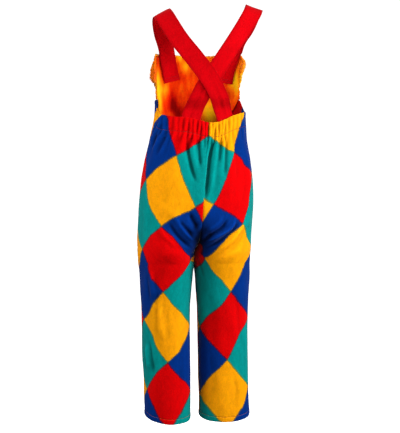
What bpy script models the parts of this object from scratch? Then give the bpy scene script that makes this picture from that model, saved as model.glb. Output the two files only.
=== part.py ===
"""Clown dungarees: brushed fleece trousers of four leg panels, a furry bib, and two straps crossed at the back, in the form they take when worn.
Metres, +Z up, +Y the wearer's front, +X the wearer's right. The origin lies between the tops of the two straps."""

import bpy
import numpy as np

# Driving dimensions, metres
CLOTH = 0.0020  # wall of the fleece, nap included
BIB_CLOTH = 0.0020  # wall of the bib
FUR_REACH = 0.0130  # how far the pile stands off the bib's face
STRAP_WIDTH = 0.0400
STRAP_CLOTH = 0.0032  # a strap is a flat tube, so two layers
BIB_MIDDLE, BIB_LEFT, BIB_RIGHT = -0.0090, 0.1052, 0.0935  # middle, reach each way
SEAM = 0.00017  # each panel stops this far short of the seam line
REST = 0.0010  # clear space between a strap's end and the cloth it lies on

FORK_TOP = -0.435  # the seat seam is straight above this height
CROTCH = -0.525
FORK_END = -0.552  # where the outside of the leg stands level with the crotch rows
HEM = -0.9010
BIB_FOOT = -0.1995  # height of the seam between bib and front panels
BIB_TOP = -0.1040
BIB_REACH = np.radians(67.5)  # how far round the chest the bib goes, each way
CHEST = 0.78  # power of the chest's section: 1 is an ellipse, less is flatter in front

TRUNK_ROWS, FORK_ROWS, LEG_ROWS = 11, 7, 13
PANEL_COLUMNS = 12

# Trunk: height, reach to the left and to the right of the middle plane, depth behind, depth in front
TRUNK = np.array(
    [
        (-0.190, 0.1050, 0.0935, 0.0700, 0.0690),
        (-0.232, 0.1068, 0.0940, 0.0745, 0.0715),
        (-0.283, 0.1138, 0.0992, 0.0840, 0.0760),
        (-0.336, 0.1195, 0.1155, 0.0920, 0.0810),
        (-0.389, 0.1250, 0.1242, 0.0970, 0.0830),
        (-0.435, 0.1262, 0.1270, 0.0980, 0.0825),
        (-0.495, 0.1242, 0.1258, 0.0940, 0.0805),
        (-0.560, 0.1225, 0.1235, 0.0880, 0.0780),
    ]
)

# Legs: height, half gap between the legs, left outer reach, right outer reach from the middle plane, depth behind, depth in front
LEGS = np.array(
    [
        (-0.435, 0.0004, 0.1262, 0.1262, 0.0920, 0.0800),
        (-0.500, 0.0004, 0.1252, 0.1252, 0.0900, 0.0790),
        (-0.525, 0.0005, 0.1246, 0.1246, 0.0870, 0.0775),
        (-0.557, 0.0012, 0.1225, 0.1236, 0.0805, 0.0740),
        (-0.583, 0.0038, 0.1190, 0.1245, 0.0745, 0.0700),
        (-0.618, 0.0066, 0.1175, 0.1240, 0.0690, 0.0660),
        (-0.671, 0.0090, 0.1145, 0.1205, 0.0640, 0.0620),
        (-0.741, 0.0095, 0.1150, 0.1190, 0.0615, 0.0600),
        (-0.812, 0.0095, 0.1130, 0.1205, 0.0600, 0.0590),
        (-0.865, 0.0100, 0.1115, 0.1225, 0.0595, 0.0585),
        (-0.905, 0.0105, 0.1105, 0.1235, 0.0590, 0.0585),
    ]
)

# Middle plane: height, x
MIDDLE = np.array(
    [
        (-0.190, -0.0090),
        (-0.232, -0.0095),
        (-0.283, -0.0132),
        (-0.336, -0.0205),
        (-0.389, -0.0236),
        (-0.435, -0.0262),
        (-0.495, -0.0290),
        (-0.557, -0.0312),
        (-0.618, -0.0315),
        (-0.741, -0.0300),
        (-0.865, -0.0285),
        (-0.905, -0.0280),
    ]
)

# Waist edge: share of the way from the middle of the back to the middle of the front, left height, right height
WAIST = np.array(
    [
        (0.00, -0.2510, -0.2510),
        (0.06, -0.2458, -0.2500),
        (0.13, -0.2400, -0.2430),
        (0.20, -0.2385, -0.2355),
        (0.34, -0.2340, -0.2285),
        (0.39, -0.2290, -0.2275),
        (0.45, -0.2150, -0.2270),
        (0.50, -0.2060, -0.2255),
        (0.57, -0.2010, -0.2130),
        (0.625, -0.1998, -0.1998),
        (1.00, -0.1998, -0.1998),
    ]
)

# Hem: share of the way round the leg from the inner seam by the back, left height, right height
HEMS = np.array(
    [
        (0.00, -0.8985, -0.8995),
        (0.12, -0.9030, -0.9025),
        (0.25, -0.9040, -0.9035),
        (0.38, -0.8990, -0.9000),
        (0.50, -0.8935, -0.8950),
        (0.65, -0.8950, -0.8945),
        (0.80, -0.8970, -0.8970),
        (1.00, -0.8985, -0.8995),
    ]
)

# Largest folds: side, share round at the start, height, share at the end, height, half width, rise (a trough is under nought)
FOLDS = (
    ("left", 0.04, -0.275, 0.10, -0.400, 0.0140, -0.0035),
    ("left", 0.20, -0.270, 0.16, -0.385, 0.0150, 0.0030),
    ("left", 0.36, -0.250, 0.44, -0.350, 0.0140, -0.0030),
    ("left", 0.11, -0.480, 0.20, -0.430, 0.0120, 0.0040),
    ("left", 0.07, -0.545, 0.22, -0.500, 0.0130, -0.0040),
    ("left", 0.37, -0.560, 0.34, -0.700, 0.0140, 0.0030),
    ("left", 0.30, -0.760, 0.46, -0.830, 0.0150, -0.0030),
    ("right", 0.02, -0.290, 0.05, -0.420, 0.0140, -0.0045),
    ("right", 0.13, -0.270, 0.11, -0.400, 0.0150, 0.0035),
    ("right", 0.30, -0.270, 0.34, -0.390, 0.0150, 0.0025),
    ("right", 0.10, -0.495, 0.34, -0.462, 0.0120, 0.0045),
    ("right", 0.08, -0.530, 0.38, -0.500, 0.0130, -0.0040),
    ("right", 0.15, -0.600, 0.33, -0.720, 0.0150, 0.0025),
    ("left", 0.72, -0.520, 0.92, -0.470, 0.0140, 0.0040),
    ("right", 0.74, -0.530, 0.93, -0.480, 0.0140, 0.0040),
    ("left", 0.80, -0.640, 0.64, -0.700, 0.0150, -0.0030),
    ("right", 0.66, -0.650, 0.82, -0.710, 0.0150, -0.0030),
    ("left", 0.66, -0.300, 0.70, -0.420, 0.0150, 0.0025),
    ("right", 0.66, -0.310, 0.71, -0.430, 0.0150, 0.0025),
)

# Strap centre lines from the end inside the back waist, over the shoulder, to the end on the bib:
# x, y, z of the middle, then the direction across, from the strap's left edge to its right
STRAP_LEFT = np.array(
    [
        (0.0345, -0.0690, -0.2700, 0.86, 0.30, 0.42),
        (0.0285, -0.0722, -0.2450, 0.83, 0.24, 0.50),
        (0.0165, -0.0800, -0.2100, 0.84, 0.12, 0.53),
        (-0.0075, -0.0890, -0.1640, 0.82, -0.05, 0.58),
        (-0.0420, -0.0870, -0.1170, 0.80, -0.22, 0.55),
        (-0.0715, -0.0770, -0.0790, 0.80, -0.32, 0.51),
        (-0.0905, -0.0590, -0.0450, 0.82, -0.32, 0.48),
        (-0.1000, -0.0350, -0.0225, 0.86, -0.16, 0.48),
        (-0.1020, -0.0080, -0.0155, 0.88, 0.00, 0.48),
        (-0.1005, 0.0180, -0.0230, 0.90, 0.06, 0.42),
        (-0.0945, 0.0400, -0.0460, 0.93, 0.10, 0.30),
        (-0.0860, 0.0490, -0.0780, 0.94, 0.26, 0.12),
        (-0.0795, 0.0530, -0.1120, 0.93, 0.34, 0.08),
        (-0.0685, 0.0565, -0.1590, 0.92, 0.30, 0.22),
    ]
)
STRAP_RIGHT = np.array(
    [
        (-0.0535, -0.0690, -0.2680, 0.90, -0.22, -0.28),
        (-0.0480, -0.0716, -0.2450, 0.90, -0.20, -0.32),
        (-0.0380, -0.0770, -0.2150, 0.90, -0.10, -0.38),
        (-0.0150, -0.0830, -0.1680, 0.88, 0.06, -0.45),
        (0.0170, -0.0830, -0.1210, 0.84, 0.22, -0.46),
        (0.0450, -0.0750, -0.0800, 0.83, 0.34, -0.43),
        (0.0710, -0.0570, -0.0440, 0.85, 0.34, -0.39),
        (0.0940, -0.0330, -0.0120, 0.91, 0.18, -0.34),
        (0.1025, -0.0080, -0.0005, 0.95, 0.00, -0.30),
        (0.1035, 0.0180, -0.0090, 0.96, -0.06, -0.26),
        (0.0890, 0.0370, -0.0400, 0.95, -0.20, -0.18),
        (0.0610, 0.0490, -0.0780, 0.93, -0.30, -0.08),
        (0.0500, 0.0540, -0.1140, 0.94, -0.34, -0.06),
        (0.0440, 0.0560, -0.1590, 0.94, -0.32, -0.12),
    ]
)
STRAP_STATIONS = 31
STRAP_COLUMNS = 3

COLLECTION = "clown_dungarees"


def smooth(table, at, column):
    """A column of a table at heights or shares `at`, through the rows as a smooth curve that doesn't overshoot."""
    rows = table[np.argsort(table[:, 0])]
    x, y = rows[:, 0], rows[:, column]
    slope = np.diff(y) / np.diff(x)
    m = np.empty_like(y)
    m[1:-1] = np.where(
        slope[1:] * slope[:-1] > 0,
        2 * slope[1:] * slope[:-1] / (slope[1:] + slope[:-1] + 1e-30),
        0.0,
    )
    m[0], m[-1] = slope[0], slope[-1]
    at = np.clip(np.asarray(at, float), x[0], x[-1])
    k = np.clip(np.searchsorted(x, at) - 1, 0, len(x) - 2)
    h = x[k + 1] - x[k]
    t = (at - x[k]) / h
    return (
        y[k] * (1 + 2 * t) * (1 - t) ** 2
        + h * m[k] * t * (1 - t) ** 2
        + y[k + 1] * t * t * (3 - 2 * t)
        + h * m[k + 1] * t * t * (t - 1)
    )


def ease(t):
    t = np.clip(t, 0.0, 1.0)
    return t * t * (3 - 2 * t)


def row_height(side, u, r):
    """Height and the blend from trunk to leg for row r, which counts 0 at the waist, 1 where the fork starts, 2 at the crotch and 3 at the hem."""
    u, r = np.broadcast_arrays(np.asarray(u, float), np.asarray(r, float))
    waist = smooth(WAIST, u, 1 if side == "left" else 2)
    hem = smooth(HEMS, u, 1 if side == "left" else 2)
    trunk = waist + (FORK_TOP - waist) * r
    turn = np.clip(r - 1, 0, 1) * np.pi / 2
    inner = FORK_TOP + (CROTCH - FORK_TOP) * np.sin(turn)
    outer = FORK_TOP + (FORK_END - FORK_TOP) * np.clip(r - 1, 0, 1)
    near = ease(1 - np.minimum(u, 1 - u) / 0.20)
    fork = outer + (inner - outer) * near
    start = FORK_END + (CROTCH - FORK_END) * near
    low = np.clip(r - 2, 0, 1)
    leg = start + (hem - start) * low
    z = np.where(r <= 1, trunk, np.where(r <= 2, fork, leg))
    blend = np.where(r <= 1, 0.0, np.where(r <= 2, 1 - np.cos(turn), 1.0))
    return z, blend


def plain_point(side, u, r):
    """The outer face before its folds. u runs from the middle of the back (or the inner seam) round the outside to the middle of the front."""
    sign = -1.0 if side == "left" else 1.0
    z, blend = row_height(side, u, r)
    u = np.broadcast_to(np.asarray(u, float), z.shape)
    middle = smooth(MIDDLE, z, 1)
    a = np.pi * u
    deep = np.where(u < 0.5, smooth(TRUNK, z, 3), smooth(TRUNK, z, 4))
    reach = smooth(TRUNK, z, 1 if side == "left" else 2)
    power = np.where(u < 0.5, 1.0, CHEST + (1 - CHEST) * ease((-0.20 - z) / 0.14))
    tx = reach * np.sin(a) ** power
    ty = -deep * np.sign(np.cos(a)) * np.abs(np.cos(a)) ** power
    b = 2 * np.pi * u
    gap = smooth(LEGS, z, 1)
    out = smooth(LEGS, z, 2 if side == "left" else 3)
    back, front = smooth(LEGS, z, 4), smooth(LEGS, z, 5)
    half = (out - gap) / 2
    lx = gap + half * (1 - np.cos(b))
    ly = np.where(u < 0.5, -back, front) * np.abs(np.sin(b)) ** 0.92
    x = tx + (lx - tx) * blend
    y = (ty + (ly - ty) * blend) * (1 + 0.14 * np.sin(np.pi * blend))
    return np.stack([middle + sign * x, y, z], -1)


def fold_rise(side, u, r):
    """How far the folds lift the cloth off its plain form."""
    z, _ = row_height(side, u, r)
    u = np.broadcast_to(np.asarray(u, float), z.shape)
    around = np.where(z > CROTCH, 0.30, 0.33)  # metres for one share
    rise = np.zeros(z.shape)
    for name, u0, z0, u1, z1, half, high in FOLDS:
        if name != side:
            continue
        d = np.array([(u1 - u0) * 0.31, z1 - z0])
        length = np.hypot(*d)
        px, pz = (u - u0) * around, z - z0
        along = (px * d[0] + pz * d[1]) / length**2
        across = (px * d[1] - pz * d[0]) / length
        rise += (
            high
            * np.exp(-((across / half) ** 2))
            * ease((along + 0.25) / 0.45)
            * ease((1.25 - along) / 0.45)
        )
    return rise * ease((-0.276 - z) / 0.04)


def outer_point(side, u, r, lift=0.0):
    """The outer face with its folds, lifted by `lift` along the outward normal."""
    e = 0.004
    u = np.asarray(u, float)
    r = np.asarray(r, float)
    u, r = np.broadcast_arrays(u, r)
    # the ring is closed in the leg, so a step past its ends goes round; in the trunk it mirrors about the middle plane
    def at(uu, rr):
        rr = np.clip(rr, 0, 3)
        inside = plain_point(side, np.clip(uu, 0, 1), rr)
        over = np.where(uu < 0, -uu, np.where(uu > 1, 2 - uu, uu))
        beyond = plain_point(side, over, rr)
        middle = smooth(MIDDLE, beyond[..., 2], 1)
        mirrored = beyond.copy()
        mirrored[..., 0] = 2 * middle - beyond[..., 0]
        around = np.where(uu < 0, 1 + uu, np.where(uu > 1, uu - 1, uu))
        closed = plain_point(side, around, rr)
        outside = (uu < 0) | (uu > 1)
        leg = (rr > 2.0)[..., None]
        return np.where(outside[..., None], np.where(leg, closed, mirrored), inside)

    du = at(u + e, r) - at(u - e, r)
    dr = at(u, r + e) - at(u, r - e)
    n = np.cross(du, dr)
    n /= np.linalg.norm(n, axis=-1, keepdims=True) + 1e-30
    p = plain_point(side, u, r)
    middle = smooth(MIDDLE, p[..., 2], 1)
    out = np.stack(
        [p[..., 0] - middle - (-1 if side == "left" else 1) * 0.05, p[..., 1], 0 * middle], -1
    )
    flip = np.where((n * out).sum(-1) < 0, -1.0, 1.0)
    # the sense is the same all over a panel, so it is taken from the clearest place
    flip = np.sign(flip.sum()) or 1.0
    n = n * flip
    seat = np.clip((r - 1.0), 0, 1) * np.clip(2.6 - r, 0, 1)
    edge = ease(np.minimum(u, 1 - u) / 0.05) if np.ndim(u) else 1.0
    calm = 1 - (1 - edge) * np.clip(seat * 2, 0, 1)
    rise = fold_rise(side, u, r) * calm
    return p + n * (rise + lift)[..., None], n


def keep_side(side, part, points):
    """Holds a panel SEAM short of the middle plane, and of the side and inner seams, which all lie at y = 0."""
    middle = smooth(MIDDLE, points[..., 2], 1)
    if part == "back":
        points[..., 1] = np.minimum(points[..., 1], -SEAM)
    else:
        points[..., 1] = np.maximum(points[..., 1], SEAM)
    if side == "left":
        points[..., 0] = np.minimum(points[..., 0], middle - SEAM)
    else:
        points[..., 0] = np.maximum(points[..., 0], middle + SEAM)
    return points


def rows():
    return np.concatenate(
        [
            np.linspace(0, 1, TRUNK_ROWS)[:-1],
            1 + np.linspace(0, 1, FORK_ROWS)[:-1],
            2 + np.linspace(0, 1, LEG_ROWS),
        ]
    )


def panel(side, part):
    """Outer and inner grids of one trouser panel, with its turned waist and hem left as one wall."""
    trim = 0.0007
    lo, hi = (trim, 0.5 - trim) if part == "back" else (0.5 + trim, 1 - trim)
    u = np.linspace(lo, hi, PANEL_COLUMNS + 1)
    r, uu = np.meshgrid(rows(), u, indexing="ij")
    outer, normal = outer_point(side, uu, r)
    inner = outer - normal * CLOTH
    return keep_side(side, part, outer), keep_side(side, part, inner)


def bib_point(theta, s, lift):
    """The bib's outer face: theta round the chest, s from its foot to its top."""
    theta, s = np.broadcast_arrays(np.asarray(theta, float), np.asarray(s, float))
    z = BIB_FOOT + (BIB_TOP - BIB_FOOT) * s
    reach = np.where(theta < 0, BIB_LEFT, BIB_RIGHT) + 0.0010 * s
    deep = 0.0694 - 0.0050 * s + 0.004 * np.sin(np.pi * s)
    c, d = np.abs(np.cos(theta)), np.abs(np.sin(theta))
    x, y = reach * d**CHEST, deep * c**CHEST
    turn = np.sign(theta)
    n = np.stack(
        [turn * (x / reach) ** (2 / CHEST - 1) / reach, (y / deep) ** (2 / CHEST - 1) / deep, 0 * z], -1
    )
    p = np.stack([BIB_MIDDLE + turn * x, y, z], -1)
    n /= np.linalg.norm(n, axis=-1, keepdims=True)
    return p + n * (np.zeros_like(z) + lift)[..., None]


def bib():
    theta, s = np.meshgrid(
        np.linspace(-BIB_REACH, BIB_REACH, 19), np.linspace(0, 1, 6), indexing="xy"
    )
    s = s + 0.0025 * (s < 0.5) * (s == 0)
    return bib_point(theta, s, 0.0), bib_point(theta, s, -BIB_CLOTH)


def bib_fur():
    wide = BIB_REACH + np.radians(3.0)
    theta, s = np.meshgrid(
        np.linspace(-wide, wide, 21), np.linspace(0.03, 1.06, 6), indexing="xy"
    )
    edge = ease((wide - np.abs(theta)) / 0.35)
    top = ease((1.10 - s) / 0.25)
    full = 0.0035 + (FUR_REACH - 0.0035) * edge * top
    return bib_point(theta, s, full), bib_point(theta, s, 0.0005 + 0 * theta)


def curve(points, count):
    """A smooth line through the rows of `points`, at even steps."""
    step = np.linalg.norm(np.diff(points[:, :3], axis=0), axis=1)
    length = np.concatenate([[0], np.cumsum(step)])
    table = np.column_stack([length, points])
    at = np.linspace(0, length[-1], count)
    m = np.gradient(points, length, axis=0)
    k = np.clip(np.searchsorted(length, at) - 1, 0, len(length) - 2)
    h = (length[k + 1] - length[k])[:, None]
    t = (at[:, None] - length[k][:, None]) / h
    p, q = table[k, 1:], table[k + 1, 1:]
    return (
        p * (1 + 2 * t) * (1 - t) ** 2
        + h * m[k] * t * (1 - t) ** 2
        + q * t * t * (3 - 2 * t)
        + h * m[k + 1] * t * t * (t - 1)
    )


def strap(table):
    """Outer and inner grids of a strap. Its ends lie on the inside of the back waist and on the inside of the bib."""
    line = curve(table, STRAP_STATIONS)
    middle, across = line[:, :3], line[:, 3:6]
    along = np.gradient(middle, axis=0)
    along /= np.linalg.norm(along, axis=1)[:, None]
    across = across - (across * along).sum(1)[:, None] * along
    across /= np.linalg.norm(across, axis=1)[:, None]
    w = np.linspace(-0.5, 0.5, STRAP_COLUMNS + 1)
    mid = middle[:, None, :] + across[:, None, :] * (w[None, :, None] * STRAP_WIDTH)
    x, y, z = mid[..., 0], mid[..., 1], mid[..., 2]
    clear = CLOTH + REST + STRAP_CLOTH / 2
    middle_x = smooth(MIDDLE, z, 1)
    reach = np.where(x < middle_x, smooth(TRUNK, z, 1), smooth(TRUNK, z, 2)) - clear
    inside = -(smooth(TRUNK, z, 3) - clear) * np.sqrt(
        np.clip(1 - ((x - middle_x) / reach) ** 2, 0.04, 1)
    )
    at_back = ease((-0.196 - z) / 0.032) * (y < 0)
    share = np.clip((z - BIB_FOOT) / (BIB_TOP - BIB_FOOT), 0, 1.2)
    reach_b = np.where(x < BIB_MIDDLE, BIB_LEFT, BIB_RIGHT) + 0.0010 * share - clear
    deep_b = 0.0694 - 0.0050 * share + 0.004 * np.sin(np.pi * np.clip(share, 0, 1)) - clear
    on_bib = deep_b * np.clip(1 - (np.abs(x - BIB_MIDDLE) / reach_b) ** (2 / CHEST), 0.02, 1) ** (CHEST / 2)
    at_front = ease((-0.062 - z) / 0.034) * (y > 0)
    mid[..., 1] = y + (inside - y) * at_back + (on_bib - y) * at_front
    ds, dw = np.gradient(mid, axis=0), np.gradient(mid, axis=1)
    normal = np.cross(dw, ds)
    normal /= np.linalg.norm(normal, axis=-1, keepdims=True)
    if normal[0, 0, 1] > 0:
        normal = -normal
    return mid + normal * (STRAP_CLOTH / 2), mid - normal * (STRAP_CLOTH / 2)


def colour_of(srgb):
    c = np.array(srgb) / 255.0
    return tuple(np.where(c <= 0.04045, c / 12.92, ((c + 0.055) / 1.055) ** 2.4)) + (1.0,)


def make(name, outer, inner, srgb, rough, home):
    """A closed body between two grids of the same size."""
    rows_, cols = outer.shape[:2]
    n = rows_ * cols
    points = np.concatenate([outer.reshape(-1, 3), inner.reshape(-1, 3)])
    idx = np.arange(n).reshape(rows_, cols)
    faces = []
    for i in range(rows_ - 1):
        for j in range(cols - 1):
            a, b, c, d = idx[i, j], idx[i, j + 1], idx[i + 1, j + 1], idx[i + 1, j]
            faces.append((a, b, c, d))
            faces.append((d + n, c + n, b + n, a + n))
    ring = (
        [idx[0, j] for j in range(cols)]
        + [idx[i, -1] for i in range(1, rows_)]
        + [idx[-1, j] for j in range(cols - 2, -1, -1)]
        + [idx[i, 0] for i in range(rows_ - 2, 0, -1)]
    )
    for k in range(len(ring)):
        a, b = ring[k], ring[(k + 1) % len(ring)]
        faces.append((b, a, a + n, b + n))
    mesh = bpy.data.meshes.new(name)
    mesh.from_pydata(points.tolist(), [], [tuple(int(v) for v in f) for f in faces])
    p = points[np.array(faces)]
    c = p[:, 0]
    volume = (
        np.einsum("ij,ij->i", c, np.cross(p[:, 1], p[:, 2])).sum()
        + np.einsum("ij,ij->i", c, np.cross(p[:, 2], p[:, 3])).sum()
    )
    if volume < 0:
        mesh.flip_normals()
    mesh.update()
    body = bpy.data.objects.new(name, mesh)
    home.objects.link(body)
    material = bpy.data.materials.new(name + "_cloth")
    material.use_nodes = True
    shader = material.node_tree.nodes["Principled BSDF"]
    shader.inputs["Base Color"].default_value = colour_of(srgb)
    shader.inputs["Roughness"].default_value = rough
    shader.inputs["Metallic"].default_value = 0.0
    mesh.materials.append(material)
    return body


def main():
    for old in list(bpy.data.objects):
        bpy.data.objects.remove(old, do_unlink=True)
    home = bpy.data.collections.new(COLLECTION)
    bpy.context.scene.collection.children.link(home)
    make("back_left", *panel("left", "back"), (200, 30, 20), 0.9, home)
    make("back_right", *panel("right", "back"), (0, 140, 130), 0.9, home)
    make("front_left", *panel("left", "front"), (20, 60, 150), 0.9, home)
    make("front_right", *panel("right", "front"), (240, 165, 10), 0.9, home)
    make("bib", *bib(), (215, 90, 5), 0.9, home)
    make("bib_fur", *bib_fur(), (255, 150, 10), 0.85, home)
    make("strap_left", *strap(STRAP_LEFT), (200, 0, 18), 0.8, home)
    make("strap_right", *strap(STRAP_RIGHT), (200, 0, 18), 0.8, home)


main()
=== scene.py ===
"""The looks of the clown dungarees: brushed fleece with a printed harlequin, gathered waist, flame-dyed bib with long pile, and plain red straps."""

import bpy
import numpy as np
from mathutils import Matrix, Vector


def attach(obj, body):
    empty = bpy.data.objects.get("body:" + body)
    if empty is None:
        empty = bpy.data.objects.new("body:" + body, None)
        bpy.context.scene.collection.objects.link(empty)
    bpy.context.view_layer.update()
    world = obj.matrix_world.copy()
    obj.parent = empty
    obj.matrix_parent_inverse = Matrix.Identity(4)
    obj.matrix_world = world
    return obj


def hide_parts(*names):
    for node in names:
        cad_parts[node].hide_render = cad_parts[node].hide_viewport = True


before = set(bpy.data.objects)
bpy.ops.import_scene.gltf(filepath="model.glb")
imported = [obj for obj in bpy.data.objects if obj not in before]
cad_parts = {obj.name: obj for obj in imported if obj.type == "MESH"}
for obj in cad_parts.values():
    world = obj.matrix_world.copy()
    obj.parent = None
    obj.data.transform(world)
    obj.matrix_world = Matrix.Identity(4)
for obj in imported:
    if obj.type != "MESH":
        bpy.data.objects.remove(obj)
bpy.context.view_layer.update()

# ---------------------------------------------------------------- the form, as the construction states it (metres)
CLOTH = 0.0020
BIB_CLOTH = 0.0020
STRAP_WIDTH = 0.0400
STRAP_CLOTH = 0.0032
BIB_MIDDLE, BIB_LEFT, BIB_RIGHT = -0.0090, 0.1052, 0.0935
SEAM = 0.00008  # half the gap between two sewn panels
REST = 0.0010
FORK_TOP = -0.435
CROTCH = -0.525
FORK_END = -0.552
BIB_FOOT = -0.1995
BIB_TOP = -0.1040
BIB_REACH = np.radians(67.5)
CHEST = 0.78

# Trunk: height, reach to the left and to the right of the middle plane, depth behind, depth in front
TRUNK = np.array(
    [
        (-0.190, 0.1050, 0.0935, 0.0700, 0.0690),
        (-0.232, 0.1068, 0.0940, 0.0745, 0.0715),
        (-0.283, 0.1138, 0.0992, 0.0840, 0.0760),
        (-0.336, 0.1195, 0.1155, 0.0920, 0.0810),
        (-0.389, 0.1250, 0.1242, 0.0970, 0.0830),
        (-0.435, 0.1262, 0.1270, 0.0980, 0.0825),
        (-0.495, 0.1242, 0.1258, 0.0940, 0.0805),
        (-0.560, 0.1225, 0.1235, 0.0880, 0.0780),
    ]
)

# Legs: height, half gap between the legs, left outer reach, right outer reach, depth behind, depth in front
LEGS = np.array(
    [
        (-0.435, 0.0004, 0.1262, 0.1262, 0.0920, 0.0800),
        (-0.500, 0.0004, 0.1252, 0.1252, 0.0900, 0.0790),
        (-0.525, 0.0005, 0.1246, 0.1246, 0.0870, 0.0775),
        (-0.557, 0.0012, 0.1225, 0.1236, 0.0805, 0.0740),
        (-0.583, 0.0038, 0.1190, 0.1245, 0.0745, 0.0700),
        (-0.618, 0.0066, 0.1175, 0.1240, 0.0690, 0.0660),
        (-0.671, 0.0090, 0.1145, 0.1205, 0.0640, 0.0620),
        (-0.741, 0.0095, 0.1150, 0.1190, 0.0615, 0.0600),
        (-0.812, 0.0095, 0.1130, 0.1205, 0.0600, 0.0590),
        (-0.865, 0.0100, 0.1115, 0.1225, 0.0595, 0.0585),
        (-0.905, 0.0105, 0.1105, 0.1235, 0.0590, 0.0585),
    ]
)

# Middle plane: height, x
MIDDLE = np.array(
    [
        (-0.190, -0.0090),
        (-0.232, -0.0095),
        (-0.283, -0.0132),
        (-0.336, -0.0205),
        (-0.389, -0.0236),
        (-0.435, -0.0262),
        (-0.495, -0.0290),
        (-0.557, -0.0312),
        (-0.618, -0.0315),
        (-0.741, -0.0300),
        (-0.865, -0.0285),
        (-0.905, -0.0280),
    ]
)

# Waist edge: share of the way round from the middle of the back, left height, right height
WAIST = np.array(
    [
        (0.00, -0.2510, -0.2510),
        (0.06, -0.2458, -0.2500),
        (0.13, -0.2400, -0.2430),
        (0.20, -0.2385, -0.2355),
        (0.34, -0.2340, -0.2285),
        (0.39, -0.2290, -0.2275),
        (0.45, -0.2150, -0.2270),
        (0.50, -0.2060, -0.2255),
        (0.57, -0.2010, -0.2130),
        (0.625, -0.1998, -0.1998),
        (1.00, -0.1998, -0.1998),
    ]
)

# Hem: share of the way round the leg from the inner seam by the back, left height, right height
HEMS = np.array(
    [
        (0.00, -0.8985, -0.8995),
        (0.12, -0.9030, -0.9025),
        (0.25, -0.9040, -0.9035),
        (0.38, -0.8990, -0.9000),
        (0.50, -0.8935, -0.8950),
        (0.65, -0.8950, -0.8945),
        (0.80, -0.8970, -0.8970),
        (1.00, -0.8985, -0.8995),
    ]
)

# Largest folds: side, share round at the start, height, share at the end, height, half width, rise
FOLDS = (
    ("left", 0.04, -0.275, 0.10, -0.400, 0.0140, -0.0035),
    ("left", 0.20, -0.270, 0.16, -0.385, 0.0150, 0.0030),
    ("left", 0.36, -0.250, 0.44, -0.350, 0.0140, -0.0030),
    ("left", 0.11, -0.480, 0.20, -0.430, 0.0120, 0.0040),
    ("left", 0.07, -0.545, 0.22, -0.500, 0.0130, -0.0040),
    ("left", 0.37, -0.560, 0.34, -0.700, 0.0140, 0.0030),
    ("left", 0.30, -0.760, 0.46, -0.830, 0.0150, -0.0030),
    ("right", 0.02, -0.290, 0.05, -0.420, 0.0140, -0.0045),
    ("right", 0.13, -0.270, 0.11, -0.400, 0.0150, 0.0035),
    ("right", 0.30, -0.270, 0.34, -0.390, 0.0150, 0.0025),
    ("right", 0.10, -0.495, 0.34, -0.462, 0.0120, 0.0045),
    ("right", 0.08, -0.530, 0.38, -0.500, 0.0130, -0.0040),
    ("right", 0.15, -0.600, 0.33, -0.720, 0.0150, 0.0025),
    ("left", 0.72, -0.520, 0.92, -0.470, 0.0140, 0.0040),
    ("right", 0.74, -0.530, 0.93, -0.480, 0.0140, 0.0040),
    ("left", 0.80, -0.640, 0.64, -0.700, 0.0150, -0.0030),
    ("right", 0.66, -0.650, 0.82, -0.710, 0.0150, -0.0030),
    ("left", 0.66, -0.300, 0.70, -0.420, 0.0150, 0.0025),
    ("right", 0.66, -0.310, 0.71, -0.430, 0.0150, 0.0025),
)

# Strap centre lines: x, y, z of the middle, then the direction across
STRAP_LEFT = np.array(
    [
        (0.0345, -0.0690, -0.2700, 0.86, 0.30, 0.42),
        (0.0285, -0.0722, -0.2450, 0.83, 0.24, 0.50),
        (0.0165, -0.0800, -0.2100, 0.84, 0.12, 0.53),
        (-0.0075, -0.0890, -0.1640, 0.82, -0.05, 0.58),
        (-0.0420, -0.0870, -0.1170, 0.80, -0.22, 0.55),
        (-0.0715, -0.0770, -0.0790, 0.80, -0.32, 0.51),
        (-0.0905, -0.0590, -0.0450, 0.82, -0.32, 0.48),
        (-0.1000, -0.0350, -0.0225, 0.86, -0.16, 0.48),
        (-0.1020, -0.0080, -0.0155, 0.88, 0.00, 0.48),
        (-0.1005, 0.0180, -0.0230, 0.90, 0.06, 0.42),
        (-0.0945, 0.0400, -0.0460, 0.93, 0.10, 0.30),
        (-0.0860, 0.0490, -0.0780, 0.94, 0.26, 0.12),
        (-0.0795, 0.0530, -0.1120, 0.93, 0.34, 0.08),
        (-0.0685, 0.0565, -0.1590, 0.92, 0.30, 0.22),
    ]
)
STRAP_RIGHT = np.array(
    [
        (-0.0535, -0.0690, -0.2680, 0.90, -0.22, -0.28),
        (-0.0480, -0.0716, -0.2450, 0.90, -0.20, -0.32),
        (-0.0380, -0.0770, -0.2150, 0.90, -0.10, -0.38),
        (-0.0150, -0.0830, -0.1680, 0.88, 0.06, -0.45),
        (0.0170, -0.0830, -0.1210, 0.84, 0.22, -0.46),
        (0.0450, -0.0750, -0.0800, 0.83, 0.34, -0.43),
        (0.0710, -0.0570, -0.0440, 0.85, 0.34, -0.39),
        (0.0940, -0.0330, -0.0120, 0.91, 0.18, -0.34),
        (0.1025, -0.0080, -0.0005, 0.95, 0.00, -0.30),
        (0.1035, 0.0180, -0.0090, 0.96, -0.06, -0.26),
        (0.0925, 0.0370, -0.0400, 0.95, -0.20, -0.18),
        (0.0675, 0.0490, -0.0780, 0.93, -0.30, -0.08),
        (0.0548, 0.0540, -0.1140, 0.94, -0.34, -0.06),
        (0.0462, 0.0560, -0.1610, 0.94, -0.32, -0.12),
    ]
)


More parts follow.
